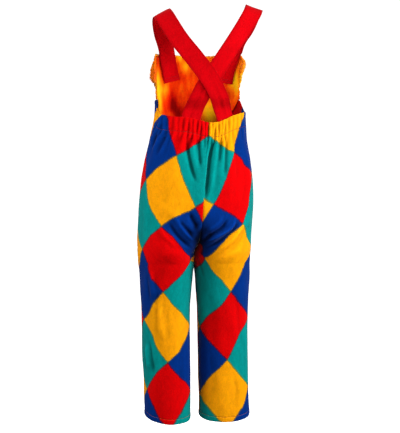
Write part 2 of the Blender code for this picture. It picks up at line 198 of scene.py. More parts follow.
def smooth(table, at, column):
    """A column of a table at heights or shares `at`, as a smooth curve that doesn't overshoot."""
    rows = table[np.argsort(table[:, 0])]
    x, y = rows[:, 0], rows[:, column]
    slope = np.diff(y) / np.diff(x)
    m = np.empty_like(y)
    m[1:-1] = np.where(
        slope[1:] * slope[:-1] > 0,
        2 * slope[1:] * slope[:-1] / (slope[1:] + slope[:-1] + 1e-30),
        0.0,
    )
    m[0], m[-1] = slope[0], slope[-1]
    at = np.clip(np.asarray(at, float), x[0], x[-1])
    k = np.clip(np.searchsorted(x, at) - 1, 0, len(x) - 2)
    h = x[k + 1] - x[k]
    t = (at - x[k]) / h
    return (
        y[k] * (1 + 2 * t) * (1 - t) ** 2
        + h * m[k] * t * (1 - t) ** 2
        + y[k + 1] * t * t * (3 - 2 * t)
        + h * m[k + 1] * t * t * (t - 1)
    )


def ease(t):
    t = np.clip(t, 0.0, 1.0)
    return t * t * (3 - 2 * t)


def row_height(side, u, r):
    u, r = np.broadcast_arrays(np.asarray(u, float), np.asarray(r, float))
    waist = smooth(WAIST, u, 1 if side == "left" else 2)
    hem = smooth(HEMS, u, 1 if side == "left" else 2)
    trunk = waist + (FORK_TOP - waist) * r
    turn = np.clip(r - 1, 0, 1) * np.pi / 2
    inner = FORK_TOP + (CROTCH - FORK_TOP) * np.sin(turn)
    outer = FORK_TOP + (FORK_END - FORK_TOP) * np.clip(r - 1, 0, 1)
    near = ease(1 - np.minimum(u, 1 - u) / 0.20)
    fork = outer + (inner - outer) * near
    start = FORK_END + (CROTCH - FORK_END) * near
    low = np.clip(r - 2, 0, 1)
    leg = start + (hem - start) * low
    z = np.where(r <= 1, trunk, np.where(r <= 2, fork, leg))
    blend = np.where(r <= 1, 0.0, np.where(r <= 2, 1 - np.cos(turn), 1.0))
    return z, blend


def plain_point(side, u, r):
    """The outer face before its folds. u runs from the middle of the back (or the inner seam) round the outside to the middle of the front."""
    sign = -1.0 if side == "left" else 1.0
    z, blend = row_height(side, u, r)
    u = np.broadcast_to(np.asarray(u, float), z.shape)
    middle = smooth(MIDDLE, z, 1)
    a = np.pi * u
    deep = np.where(u < 0.5, smooth(TRUNK, z, 3), smooth(TRUNK, z, 4))
    reach = smooth(TRUNK, z, 1 if side == "left" else 2)
    power = np.where(u < 0.5, 1.0, CHEST + (1 - CHEST) * ease((-0.20 - z) / 0.14))
    tx = reach * np.sin(a) ** power
    ty = -deep * np.sign(np.cos(a)) * np.abs(np.cos(a)) ** power
    b = 2 * np.pi * u
    gap = smooth(LEGS, z, 1)
    out = smooth(LEGS, z, 2 if side == "left" else 3)
    back, front = smooth(LEGS, z, 4), smooth(LEGS, z, 5)
    half = (out - gap) / 2
    lx = gap + half * (1 - np.cos(b))
    ly = np.where(u < 0.5, -back, front) * np.abs(np.sin(b)) ** 0.92
    x = tx + (lx - tx) * blend
    y = (ty + (ly - ty) * blend) * (1 + 0.14 * np.sin(np.pi * blend))
    return np.stack([middle + sign * x, y, z], -1)


def fold_rise(side, u, r):
    z, _ = row_height(side, u, r)
    u = np.broadcast_to(np.asarray(u, float), z.shape)
    around = np.where(z > CROTCH, 0.30, 0.33)
    rise = np.zeros(z.shape)
    for name, u0, z0, u1, z1, half, high in FOLDS:
        if name != side:
            continue
        d = np.array([(u1 - u0) * 0.31, z1 - z0])
        length = np.hypot(*d)
        px, pz = (u - u0) * around, z - z0
        along = (px * d[0] + pz * d[1]) / length**2
        across = (px * d[1] - pz * d[0]) / length
        rise += (
            high
            * np.exp(-((across / half) ** 2))
            * ease((along + 0.25) / 0.45)
            * ease((1.25 - along) / 0.45)
        )
    return rise * ease((-0.276 - z) / 0.04)


def outer_point(side, u, r, lift=0.0):
    """The outer face with its largest folds, and its outward normal."""
    e = 0.004
    u, r = np.broadcast_arrays(np.asarray(u, float), np.asarray(r, float))

    def at(uu, rr):
        rr = np.clip(rr, 0, 3)
        inside = plain_point(side, np.clip(uu, 0, 1), rr)
        over = np.where(uu < 0, -uu, np.where(uu > 1, 2 - uu, uu))
        beyond = plain_point(side, over, rr)
        middle = smooth(MIDDLE, beyond[..., 2], 1)
        mirrored = beyond.copy()
        mirrored[..., 0] = 2 * middle - beyond[..., 0]
        around = np.where(uu < 0, 1 + uu, np.where(uu > 1, uu - 1, uu))
        closed = plain_point(side, around, rr)
        outside = (uu < 0) | (uu > 1)
        leg = (rr > 2.0)[..., None]
        return np.where(outside[..., None], np.where(leg, closed, mirrored), inside)

    du = at(u + e, r) - at(u - e, r)
    dr = at(u, r + e) - at(u, r - e)
    n = np.cross(du, dr)
    n /= np.linalg.norm(n, axis=-1, keepdims=True) + 1e-30
    p = plain_point(side, u, r)
    middle = smooth(MIDDLE, p[..., 2], 1)
    out = np.stack(
        [p[..., 0] - middle - (-1 if side == "left" else 1) * 0.05, p[..., 1], 0 * middle], -1
    )
    flip = np.where((n * out).sum(-1) < 0, -1.0, 1.0)
    flip = np.sign(flip.sum()) or 1.0
    n = n * flip
    seat = np.clip((r - 1.0), 0, 1) * np.clip(2.6 - r, 0, 1)
    edge = ease(np.minimum(u, 1 - u) / 0.05)
    calm = 1 - (1 - edge) * np.clip(seat * 2, 0, 1)
    rise = fold_rise(side, u, r) * calm
    return p + n * (rise + lift)[..., None], n


def bib_point(theta, s, lift):
    theta, s = np.broadcast_arrays(np.asarray(theta, float), np.asarray(s, float))
    z = BIB_FOOT + (BIB_TOP - BIB_FOOT) * s
    reach = np.where(theta < 0, BIB_LEFT, BIB_RIGHT) + 0.0010 * s
    deep = 0.0694 - 0.0050 * s + 0.004 * np.sin(np.pi * s)
    c, d = np.abs(np.cos(theta)), np.abs(np.sin(theta))
    x, y = reach * d**CHEST, deep * c**CHEST
    turn = np.sign(theta)
    n = np.stack(
        [turn * (x / reach) ** (2 / CHEST - 1) / reach, (y / deep) ** (2 / CHEST - 1) / deep, 0 * z], -1
    )
    p = np.stack([BIB_MIDDLE + turn * x, y, z], -1)
    n /= np.linalg.norm(n, axis=-1, keepdims=True)
    return p + n * (np.zeros_like(z) + lift)[..., None], n


def curve(points, count):
    """A smooth line through the rows of `points`, at even steps."""
    step = np.linalg.norm(np.diff(points[:, :3], axis=0), axis=1)
    length = np.concatenate([[0], np.cumsum(step)])
    at = np.linspace(0, length[-1], count)
    m = np.gradient(points, length, axis=0)
    k = np.clip(np.searchsorted(length, at) - 1, 0, len(length) - 2)
    h = (length[k + 1] - length[k])[:, None]
    t = (at[:, None] - length[k][:, None]) / h
    p, q = points[k], points[k + 1]
    return (
        p * (1 + 2 * t) * (1 - t) ** 2
        + h * m[k] * t * (1 - t) ** 2
        + q * t * t * (3 - 2 * t)
        + h * m[k + 1] * t * t * (t - 1)
    )


# ---------------------------------------------------------------- soft noise, the same each run
def cloth_noise(x, y, cell_x, cell_y, seed):
    """Smooth random hills of about -1 to 1, with hills cell_x by cell_y metres."""
    field = np.random.default_rng(seed).uniform(-1, 1, (257, 257))
    a, b = np.asarray(x) / cell_x + 40.0, np.asarray(y) / cell_y + 90.0
    i, j = np.floor(a).astype(int), np.floor(b).astype(int)
    s, t = a - i, b - j
    s, t = s * s * s * (s * (6 * s - 15) + 10), t * t * t * (t * (6 * t - 15) + 10)
    g = lambda p, q: field[p % 257, q % 257]
    return (
        g(i, j) * (1 - s) * (1 - t)
        + g(i + 1, j) * s * (1 - t)
        + g(i, j + 1) * (1 - s) * t
        + g(i + 1, j + 1) * s * t
    )


# ---------------------------------------------------------------- gathers and creases
# Gathers at the elastic: distance from the middle of the back (mm), rise (mm), length below the casing (mm), drift outwards (mm)
GATHERS = {
    "left": (
        (4.0, 1.9, 20, 1), (12.0, 2.6, 50, 2), (20.5, 2.0, 24, 3), (29.0, 2.8, 72, 6), (38.5, 1.9, 26, 6),
        (48.5, 2.4, 60, 12), (59.5, 1.4, 22, 9), (71.0, 1.9, 50, 16), (85.0, 1.2, 30, 14), (99.0, 1.6, 74, 28), (114.0, 1.2, 64, 26),
    ),
    "right": (
        (3.6, 2.4, 28, 1), (10.8, 1.9, 18, 1), (18.0, 2.9, 52, 3), (25.4, 2.0, 22, 3), (33.6, 2.6, 66, 6),
        (43.0, 1.6, 24, 6), (54.0, 1.9, 58, 10), (67.0, 1.1, 26, 10), (82.0, 1.4, 56, 16), (98.0, 1.0, 46, 20),
    ),
}

# Creases, listed one by one: side, face, rise (mm), half width (mm), then points as (mm round from the middle of the
# back or the inner seam, height in mm)
CREASES = (
    ("right", "back", -9.5, 4.4, ((13, -279), (11, -309), (9, -347), (6, -389), (3.5, -428))),
    ("right", "back", 3.6, 6.0, ((23, -288), (21, -330), (18, -366), (14, -404))),
    ("left", "back", -6.2, 4.4, ((45, -286), (38, -315), (28, -347), (14, -384))),
    ("left", "back", 3.4, 5.4, ((30, -290), (24, -325), (14, -362))),
    ("left", "back", -4.6, 3.8, ((19, -282), (15, -309), (8, -348))),
    ("right", "back", -4.0, 5.4, ((44, -290), (48, -330), (47, -372))),
    ("right", "back", -4.2, 4.4, ((31, -284), (32, -309), (32, -340))),
    ("right", "back", 2.4, 7.0, ((58, -286), (66, -330), (68, -380))),
    ("left", "back", 3.4, 4.2, ((104, -243), (123, -268), (148, -300))),
    ("left", "back", -3.4, 4.0, ((100, -250), (117, -276), (138, -308))),
    ("left", "back", 3.2, 4.4, ((90, -256), (108, -284), (128, -318))),
    ("left", "back", -2.6, 4.4, ((86, -266), (101, -294), (117, -326))),
    ("left", "back", 2.0, 4.5, ((80, -272), (92, -300), (104, -326))),
    ("left", "back", 1.0, 10.0, ((70, -330), (74, -390), (66, -440))),
    ("right", "back", 1.2, 12.0, ((110, -330), (118, -390), (106, -450))),
    ("left", "back", 6.0, 5.2, ((62, -447), (50, -462), (38, -478), (28, -491), (18, -507))),
    ("left", "back", -7.5, 5.0, ((54, -455), (40, -471), (28, -484), (16, -496))),
    ("left", "back", -6.5, 5.4, ((75, -461), (58, -482), (42, -506), (32, -524))),
    ("left", "back", 3.0, 6.0, ((96, -470), (78, -495), (62, -520))),
    ("left", "back", -6.0, 6.0, ((30, -440), (22, -455), (12, -470), (5, -480))),
    ("right", "back", 6.5, 5.0, ((79, -450), (69, -469), (50, -485), (31, -496), (12, -504))),
    ("right", "back", -8.0, 5.2, ((60, -455), (48, -472), (34, -483), (18, -493), (5, -498))),
    ("right", "back", -7.0, 5.4, ((91, -461), (70, -483), (50, -500), (36, -516), (30, -528))),
    ("right", "back", 3.0, 5.0, ((48, -447), (36, -463), (22, -474), (8, -481))),
    ("right", "back", 4.2, 6.6, ((99, -468), (82, -492), (66, -516), (58, -536))),
    ("right", "back", -1.6, 7.0, ((112, -480), (95, -508), (80, -540))),
    ("right", "back", -1.6, 5.0, ((28, -545), (40, -565), (50, -590))),
    ("left", "back", -1.8, 5.0, ((30, -548), (38, -570), (44, -598))),
    ("left", "back", 4.4, 6.0, ((158, -562), (147, -598), (134, -630))),
    ("left", "back", -1.8, 5.0, ((172, -575), (160, -604), (146, -640))),
    ("left", "back", -1.4, 3.8, ((128, -612), (131, -628), (130, -648))),
    ("left", "back", 3.2, 6.0, ((122, -630), (116, -674), (108, -722))),
    ("left", "back", -1.3, 6.5, ((104, -640), (98, -690), (92, -728))),
    ("left", "back", -3.2, 5.6, ((147, -716), (138, -746), (132, -776), (130, -802))),
    ("left", "back", 4.2, 6.0, ((158, -728), (149, -758), (143, -792))),
    ("left", "back", 1.5, 8.0, ((118, -740), (116, -780), (118, -820))),
    ("left", "back", -1.3, 8.0, ((60, -700), (66, -760), (62, -830))),
    ("right", "back", 1.6, 12.0, ((70, -600), (82, -680), (80, -760))),
    ("right", "back", -1.5, 9.0, ((128, -610), (126, -680), (134, -760))),
    ("right", "back", 1.5, 9.0, ((152, -690), (150, -770), (154, -860))),
    ("right", "back", -1.3, 9.0, ((52, -740), (60, -810), (54, -870))),
    ("right", "back", -1.4, 8.0, ((108, -790), (112, -840), (104, -890))),
    ("left", "front", -4.0, 17.0, ((195, -512), (235, -520), (280, -522), (320, -518))),
    ("left", "front", 2.6, 6.0, ((262, -440), (292, -464), (320, -486), (344, -502))),
    ("left", "front", -3.0, 5.5, ((270, -455), (300, -478), (326, -498))),
    ("left", "front", 1.6, 6.0, ((268, -492), (300, -514), (340, -528))),
    ("left", "front", -2.4, 6.0, ((250, -500), (290, -524), (330, -544))),
    ("left", "front", 2.0, 8.0, ((232, -320), (240, -380), (230, -430))),
    ("left", "front", -1.8, 8.0, ((214, -310), (222, -370), (212, -420))),
    ("left", "front", 2.2, 7.0, ((262, -650), (240, -690), (222, -716))),
    ("left", "front", -2.0, 7.0, ((296, -670), (270, -700), (244, -740))),
    ("left", "front", 1.8, 8.0, ((300, -740), (296, -800), (304, -860))),
    ("left", "front", -1.6, 8.0, ((234, -760), (244, -820), (240, -880))),
    ("right", "front", -4.0, 17.0, ((190, -514), (232, -522), (276, -524), (318, -518))),
    ("right", "front", 2.6, 6.0, ((258, -436), (290, -462), (316, -484), (342, -500))),
    ("right", "front", -3.0, 5.5, ((266, -452), (298, -476), (324, -496))),
    ("right", "front", 1.6, 6.0, ((262, -490), (298, -512), (336, -527))),
    ("right", "front", -2.4, 6.0, ((246, -505), (286, -527), (330, -546))),
    ("right", "front", 2.0, 8.0, ((216, -315), (226, -378), (220, -432))),
    ("right", "front", -1.8, 8.0, ((200, -318), (208, -372), (204, -418))),
    ("right", "front", 2.2, 7.0, ((250, -640), (276, -680), (300, -712))),
    ("right", "front", -2.0, 7.0, ((228, -668), (254, -704), (282, -744))),
    ("right", "front", 1.8, 8.0, ((250, -760), (256, -820), (248, -880))),
    ("right", "front", -1.6, 8.0, ((300, -780), (294, -830), (302, -880))),
)


def through(points, count=24):
    """A smooth line through a few points, for a crease."""
    q = np.array(points, float) / 1000.0
    t = np.concatenate([[0], np.cumsum(np.hypot(*np.diff(q, axis=0).T))])
    m = np.gradient(q, t, axis=0)
    at = np.linspace(0, t[-1], count)
    k = np.clip(np.searchsorted(t, at) - 1, 0, len(t) - 2)
    h = (t[k + 1] - t[k])[:, None]
    w = (at[:, None] - t[k][:, None]) / h
    return (
        q[k] * (1 + 2 * w) * (1 - w) ** 2
        + h * m[k] * w * (1 - w) ** 2
        + q[k + 1] * w * w * (3 - 2 * w)
        + h * m[k + 1] * w * w * (w - 1)
    )


def crease_rise(s, z, points, rise, half):
    """A soft ridge or trough along a line that fades at both ends."""
    line = through(points)
    lo, hi = line.min(0) - 4 * half, line.max(0) + 4 * half
    near = (s > lo[0]) & (s < hi[0]) & (z > lo[1]) & (z < hi[1])
    out = np.zeros_like(s)
    if not near.any():
        return out
    p = np.stack([s[near], z[near]], -1)
    best = np.full(len(p), 1e9)
    where = np.zeros(len(p))
    for k in range(len(line) - 1):
        a, b = line[k], line[k + 1]
        d = b - a
        t = np.clip(((p - a) @ d) / (d @ d), 0, 1)
        gap = np.hypot(*(p - a - t[:, None] * d).T)
        closer = gap < best
        best = np.where(closer, gap, best)
        where = np.where(closer, (k + t) / (len(line) - 1), where)
    fade = ease(where / 0.30) * ease((1 - where) / 0.30)
    width = half * (0.75 + 0.5 * where)
    out[near] = rise * fade * np.exp(-((best / width) ** 2))
    return out


# ---------------------------------------------------------------- the print
# Where the harlequin lies on the cloth, which is drawn out of true by gathers and seams: mm round from the middle of the back
# or the inner seam, height in mm, then the place in the print, across and down. Diamonds meet at halves.
PRINT = {
    "left": (
        (-8, -272, 0.5, 0), (0, -251, 0.30, -0.12), (39, -307, 0.175, 0.325), (61.8, -320, 0, 0.5), (75, -290, -0.175, 0.325),
        (87, -265, -0.325, 0.175), (100, -228, -0.5, 0), (92, -339, -0.175, 0.675), (115, -353.5, -0.325, 0.825),
        (140.7, -372.5, -0.5, 1), (49, -360, 0.175, 0.675), (35, -393, 0.325, 0.825), (16.8, -431, 0.5, 1), (132, -410, -0.325, 1.175),
        (117, -439, -0.175, 1.325), (89.5, -470, 0, 1.5), (63, -454, 0.175, 1.325), (41, -444, 0.325, 1.175), (109, -485, -0.175, 1.675),
        (130, -500, -0.325, 1.825), (164.1, -522, -0.5, 2), (64, -492, 0.175, 1.675), (56, -515, 0.325, 1.825), (54.3, -548, 0.5, 2),
        (24, -538, 0.65, 1.85), (24, -553, 0.65, 2.15), (0, -528, 0.78, 1.72), (0, -562, 0.78, 2.28), (172, -556, -0.325, 2.175),
        (150, -585, -0.175, 2.325), (119.3, -614, 0, 2.5), (102, -592, 0.175, 2.325), (84, -572, 0.325, 2.175), (133, -633, -0.175, 2.675),
        (145, -653, -0.325, 2.825), (166.4, -677, -0.5, 3), (94, -639, 0.175, 2.675), (69, -661, 0.325, 2.825), (20.9, -695, 0.5, 3),
        (136, -707, -0.325, 3.175), (121, -736, -0.175, 3.325), (97, -767, 0, 3.5), (71, -745, 0.175, 3.325), (52, -723, 0.325, 3.175),
        (117, -785, -0.175, 3.675), (134, -805, -0.325, 3.825), (153.5, -831, -0.5, 4), (79, -789, 0.175, 3.675), (59, -808, 0.325, 3.825),
        (22.5, -839, 0.5, 4), (131, -862, -0.31, 4.19), (112, -896, -0.13, 4.37), (57, -871, 0.26, 4.24), (81, -899, 0.08, 4.42),
        (136, -248, -0.70, 0.18), (152, -238, -1.05, -0.20), (146, -222, -1.15, -0.55), (158, -220, -1.32, -0.58), (166, -210, -1.45, -0.66),
    ),
    "right": (
        (-8, -272, 0.5, 0), (0, -251, 0.70, -0.12), (39, -303, 0.825, 0.325), (68.6, -315, 1, 0.5), (72, -288, 1.13, 0.37),
        (80, -266, 1.24, 0.26), (103, -232, 1.37, 0.13), (140, -193, 1.5, 0), (92, -329, 1.175, 0.675), (108, -344, 1.325, 0.825), (142, -362, 1.5, 1),
        (53, -355, 0.825, 0.675), (41, -389, 0.675, 0.825), (22.7, -426, 0.5, 1), (0, -411, 0.33, 0.83), (0, -463, 0.33, 1.17),
        (122, -399, 1.325, 1.175), (117, -431, 1.175, 1.325), (95.2, -466, 1, 1.5), (47, -438, 0.675, 1.175), (71, -448, 0.825, 1.325),
        (65, -491, 0.825, 1.675), (53, -514, 0.675, 1.825), (59.9, -543, 0.5, 2), (0, -506, 0.08, 1.58), (10, -572, 0.16, 2.34),
        (114, -487, 1.175, 1.675), (133, -506, 1.325, 1.825), (177.2, -529, 1.5, 2), (81, -570, 0.675, 2.175), (97, -590, 0.825, 2.325),
        (113.5, -615, 1, 2.5), (161, -558, 1.325, 2.175), (138, -585, 1.175, 2.325), (87, -644, 0.825, 2.675), (58, -665, 0.675, 2.825),
        (18.8, -698, 0.5, 3), (127, -635, 1.175, 2.675), (143, -653, 1.325, 2.825), (172.4, -680, 1.5, 3), (49, -721, 0.675, 3.175),
        (69, -740, 0.825, 3.325), (91.5, -763, 1, 3.5), (128, -706, 1.325, 3.175), (110, -732, 1.175, 3.325), (67, -788, 0.825, 3.675),
        (43, -811, 0.675, 3.825), (7.8, -848, 0.5, 4), (107, -785, 1.175, 3.675), (125, -804, 1.325, 3.825), (151.2, -831, 1.5, 4),
        (42, -870, 0.71, 4.21), (69, -899, 0.90, 4.40), (101, -900, 1.08, 4.42), (130, -866, 1.31, 4.19),
    ),
}
# Round the front the print runs on evenly from the side: mm round and height there, the place in the print, mm for each half diamond
ONWARD = {
    "left": ((166, -212, -1.45, -0.62, 68), (140.7, -372.5, -0.5, 1, 66), (164.1, -522, -0.5, 2, 66), (166.4, -677, -0.5, 3, 66), (153.5, -831, -0.5, 4, 66)),
    "right": ((140, -193, 1.5, 0, 56), (142, -362, 1.5, 1, 66), (177.2, -529, 1.5, 2, 66), (172.4, -680, 1.5, 3, 66), (151.2, -831, 1.5, 4, 66)),
}


def lattice(side, s, z):
    """Place in the print (across, down) of the cloth at s metres round and height z, on a smooth sheet through the known places."""
    known = [(a / 1000, b / 1000, i, j) for a, b, i, j in PRINT[side]]
    turn = 1.0 if side == "right" else -1.0
    for a, b, i, j, half in ONWARD[side]:
        known += [((a + half * k) / 1000, b / 1000, i + turn * 0.5 * k, j) for k in (1, 2, 3, 4)]
    known = np.array(known)
    at, value = known[:, :2] / 0.1, known[:, 2:]

    def kernel(d2):
        return 0.5 * d2 * np.log(d2 + 1e-12)

    n = len(at)
    system = np.zeros((n + 3, n + 3))
    system[:n, :n] = kernel(((at[:, None] - at[None]) ** 2).sum(-1)) + np.eye(n) * 0.0006
    system[:n, n:] = np.column_stack([np.ones(n), at])
    system[n:, :n] = system[:n, n:].T
    weights = np.linalg.solve(system, np.vstack([value, np.zeros((3, 2))]))
    x, y = s / 0.1, z / 0.1
    out = [weights[n, k] + weights[n + 1, k] * x + weights[n + 2, k] * y for k in (0, 1)]
    for k in range(n):
        base = kernel((x - at[k, 0]) ** 2 + (y - at[k, 1]) ** 2)
        out[0] = out[0] + weights[k, 0] * base
        out[1] = out[1] + weights[k, 1] * base
    return out[0], out[1]


# ---------------------------------------------------------------- meshes
def shell(name, outer, inner, home, values=None):
    """A closed wall between two grids, with its attributes: {name: (outer grid, inner grid)}."""
    rows, cols = outer.shape[:2]
    n = rows * cols
    points = np.concatenate([outer.reshape(-1, 3), inner.reshape(-1, 3)])
    idx = np.arange(n).reshape(rows, cols)
    a, b, c, d = idx[:-1, :-1], idx[:-1, 1:], idx[1:, 1:], idx[1:, :-1]
    front = np.stack([a, b, c, d], -1).reshape(-1, 4)
    back = front[:, ::-1] + n
    ring = np.concatenate([idx[0, :-1], idx[:-1, -1], idx[-1, :0:-1], idx[:0:-1, 0]])
    nxt = np.roll(ring, -1)
    rim = np.stack([nxt, ring, ring + n, nxt + n], -1)
    faces = np.concatenate([front, back, rim])
    p = points[faces]
    volume = (
        np.einsum("ij,ij->i", p[:, 0], np.cross(p[:, 1], p[:, 2])).sum()
        + np.einsum("ij,ij->i", p[:, 0], np.cross(p[:, 2], p[:, 3])).sum()
    )
    if volume < 0:
        faces = faces[:, ::-1]
    return mesh_of(name, points, faces, home, values)


def mesh_of(name, points, faces, home, values=None):
    mesh = bpy.data.meshes.new(name)
    faces = np.ascontiguousarray(faces)
    sides = faces.shape[1]
    mesh.vertices.add(len(points))
    mesh.vertices.foreach_set("co", np.asarray(points, np.float32).ravel())
    mesh.loops.add(faces.size)
    mesh.loops.foreach_set("vertex_index", faces.astype(np.int32).ravel())
    mesh.polygons.add(len(faces))
    mesh.polygons.foreach_set("loop_start", np.arange(0, faces.size, sides, dtype=np.int32))
    mesh.update(calc_edges=True)
    mesh.validate()
    for key, data in (values or {}).items():
        data = np.asarray(data, np.float32)
        if data.ndim == 2:
            layer = mesh.attributes.new(key, "FLOAT_VECTOR", "POINT")
            layer.data.foreach_set("vector", data.ravel())
        else:
            layer = mesh.attributes.new(key, "FLOAT", "POINT")
            layer.data.foreach_set("value", data.ravel())
    mesh.shade_smooth()
    piece = bpy.data.objects.new(name, mesh)
    home.objects.link(piece)
    return piece


def rounded(d, radius, thick):
    """How far a face draws in towards the middle of a wall, d metres from the wall's folded edge."""
    t = np.clip(1 - d / radius, 0, 1)
    return thick / 2 * (1 - np.sqrt(np.clip(1 - t * t, 0, 1)))


ROWS = np.concatenate(
    [
        np.linspace(0, 0.010, 6)[:-1],
        np.linspace(0.010, 1, 112)[:-1],
        np.linspace(1, 2, 54)[:-1],
        np.linspace(2, 2.955, 130)[:-1],
        np.linspace(2.955, 3, 26),
    ]
)
COLUMNS = 98


def side_grids(side):
    """Everything about one side's cloth, round the whole ring from the middle of the back to the middle of the front."""
    t = np.linspace(0, 1, COLUMNS)
    t = t + 0.5 * (np.sin(2 * np.pi * t) / (2 * np.pi)) * -0.35  # finer near the seams
    u = np.concatenate([t * 0.5, 0.5 + t * 0.5])
    u[0], u[COLUMNS - 1], u[COLUMNS], u[-1] = 0.00002, 0.49998, 0.50002, 0.99998
    r, uu = np.meshgrid(ROWS, u, indexing="ij")
    p, n = outer_point(side, uu, r)
    step = np.linalg.norm(np.diff(p, axis=1), axis=-1)
    s = np.concatenate([np.zeros((len(ROWS), 1)), np.cumsum(step, axis=1)], axis=1)
    z, _ = row_height(side, uu, r)
    waist = smooth(WAIST, uu, 1 if side == "left" else 2)
    hem = smooth(HEMS, uu, 1 if side == "left" else 2)
    return {"u": uu, "r": r, "p": p, "n": n, "s": s, "z": z, "waist": waist - z, "hem": z - hem}


def waist_gathers(side, s, down, u):
    """Ridges that the elastic draws up: narrow in the casing, wider and softer below it."""
    casing = 0.031
    rise = np.zeros_like(s)
    marks = np.array([g[0] for g in GATHERS[side]]) / 1000
    space = np.gradient(marks)
    for k, (_, high, run, drift) in enumerate(GATHERS[side]):
        below = np.clip(down - casing, 0, None)
        centre = marks[k] + drift / 1000 * ease(below / (run / 1000 + 0.02)) + 0.0009 * np.sin(
            down / 0.010 + 2.1 * k
        )
        width = 0.36 * space[k] * (1 + 0.9 * ease(below / 0.05))
        inside = 0.50 + 0.40 * ease(down / 0.012) - 0.30 * np.exp(-(((down - casing) / 0.005) ** 2))
        fade = np.where(down < casing, inside, (0.65 + 0.6 * ease(below / 0.012)) * ease(1 - below / (run / 1000)))
        rise += 2.0 * high / 1000 * fade * np.exp(-(((s - centre) / width) ** 2))
    return rise * ease((0.44 - u) / 0.06)


def settled(s, rise, wide):
    """Each row's rise averaged over a width, to tell what lies in a valley."""
    out = np.empty_like(rise)
    for k in range(len(rise)):
        w = np.exp(-0.5 * ((s[k][:, None] - s[k][None]) / wide) ** 2)
        out[k] = (w @ rise[k]) / w.sum(1)
    return out


def cloth_rise(side, g):
    """Everything finer than the construction's folds, as a lift along the normal, for the whole ring, with a mask of
    painted shade in the valleys and at the seat and painted highlight on the ridges.
    """
    s, z, u, r = g["s"], g["z"], g["u"], g["r"]
    back = u < 0.5
    seed = 11 if side == "left" else 29
    half = s[:, COLUMNS - 1 : COLUMNS]
    full = s[:, -1:]
    to_seam = np.minimum(np.minimum(s, full - s), np.abs(s - half))
    to_middle = np.minimum(s, full - s)
    rise = 0.0011 * cloth_noise(s, z, 0.034, 0.085, seed)
    rise += 0.00055 * cloth_noise(s, z, 0.017, 0.045, seed + 1)
    rise += 0.00016 * cloth_noise(s, z, 0.006, 0.009, seed + 2)
    for name, face, high, wide, points in CREASES:
        if name == side:
            rise += crease_rise(s, z, points, high / 1000, wide / 1000) * (back if face == "back" else ~back)
    # the print's cloth strains down from the gathers, and is calm where the straps lie under it
    rise = rise * ease((g["waist"] - 0.004) / 0.030) ** 0.6
    rise = np.where((g["waist"] < 0.045) & back, np.maximum(rise, -0.0002), rise)
    rise = np.where(back, rise, np.maximum(rise, -0.0005 - 0.004 * ease((g["waist"] - 0.062) / 0.025)))
    rise = rise + waist_gathers(side, s, g["waist"], u) * back
    # how far each place lies below its neighbours: painted shade in the valleys, painted highlight on the ridges
    below = (settled(s, rise, 0.0052) - rise) / 0.0016
    painted_shade_and_highlight = np.clip(below, -1, 1)
    # near the fork the cloth of both legs meets, so its relief fades into the seams
    fork = np.clip((r - 1.2) / 0.4, 0, 1) * np.clip((2.5 - r) / 0.3, 0, 1)
    rise = rise * (1 - 0.75 * fork * (1 - ease(to_middle / 0.012)))
    # seams: the cloth rolls in and puckers a little along the stitching
    rolled = -0.0014 * (1 - ease(to_seam / 0.0042)) ** 1.4
    pucker = 0.00030 * np.sin(z / 0.0014 + 3 * cloth_noise(s * 0, z, 1, 0.02, seed + 5)) * np.exp(-to_seam / 0.0055)
    rise = rise + rolled + pucker * ease(to_seam / 0.002)
    # turned hem, with its row of stitches 11 mm up
    hem = g["hem"]
    turned = 0.00055 * ease((0.0118 - hem) / 0.0014)
    groove = -0.00085 * np.exp(-(((hem - 0.0112) / 0.0011) ** 2))
    tug = 0.00022 * np.sin(s / 0.0011) * np.exp(-(((hem - 0.0112) / 0.004) ** 2))
    rise = rise + turned + groove + tug
    # casing of the elastic behind, and a narrow turned edge at the arm
    casing = 0.031 + (0.0085 - 0.031) * ease((u - 0.36) / 0.07)
    edged = ease((0.66 - u) / 0.03)
    rise = rise + 0.0004 * ease((casing - g["waist"]) / 0.002) * edged
    rise = rise - 0.00075 * np.exp(-(((g["waist"] - casing) / 0.0013) ** 2)) * edged
    # towards the meeting of the seams at the seat, and at the inner seams under it, the mask adds painted shade
    seat = np.exp(-((to_middle / 0.026) ** 2) - (((z + 0.497) / 0.034) ** 2)) * back
    inner = np.exp(-((to_middle / 0.013) ** 2)) * ease((-0.478 - z) / 0.02) * ease((z + 0.585) / 0.03) * back
    return rise, np.clip(painted_shade_and_highlight * ease((g["waist"] + 0.002) / 0.006) + 1.6 * np.maximum(seat, 0.75 * inner), -1, 1.5)


HOME = bpy.data.collections.new("dungarees_looks")
bpy.context.scene.collection.children.link(HOME)
PIECES = {}
ON_CLOTH = {}  # finished outer grids, for what is sewn on them


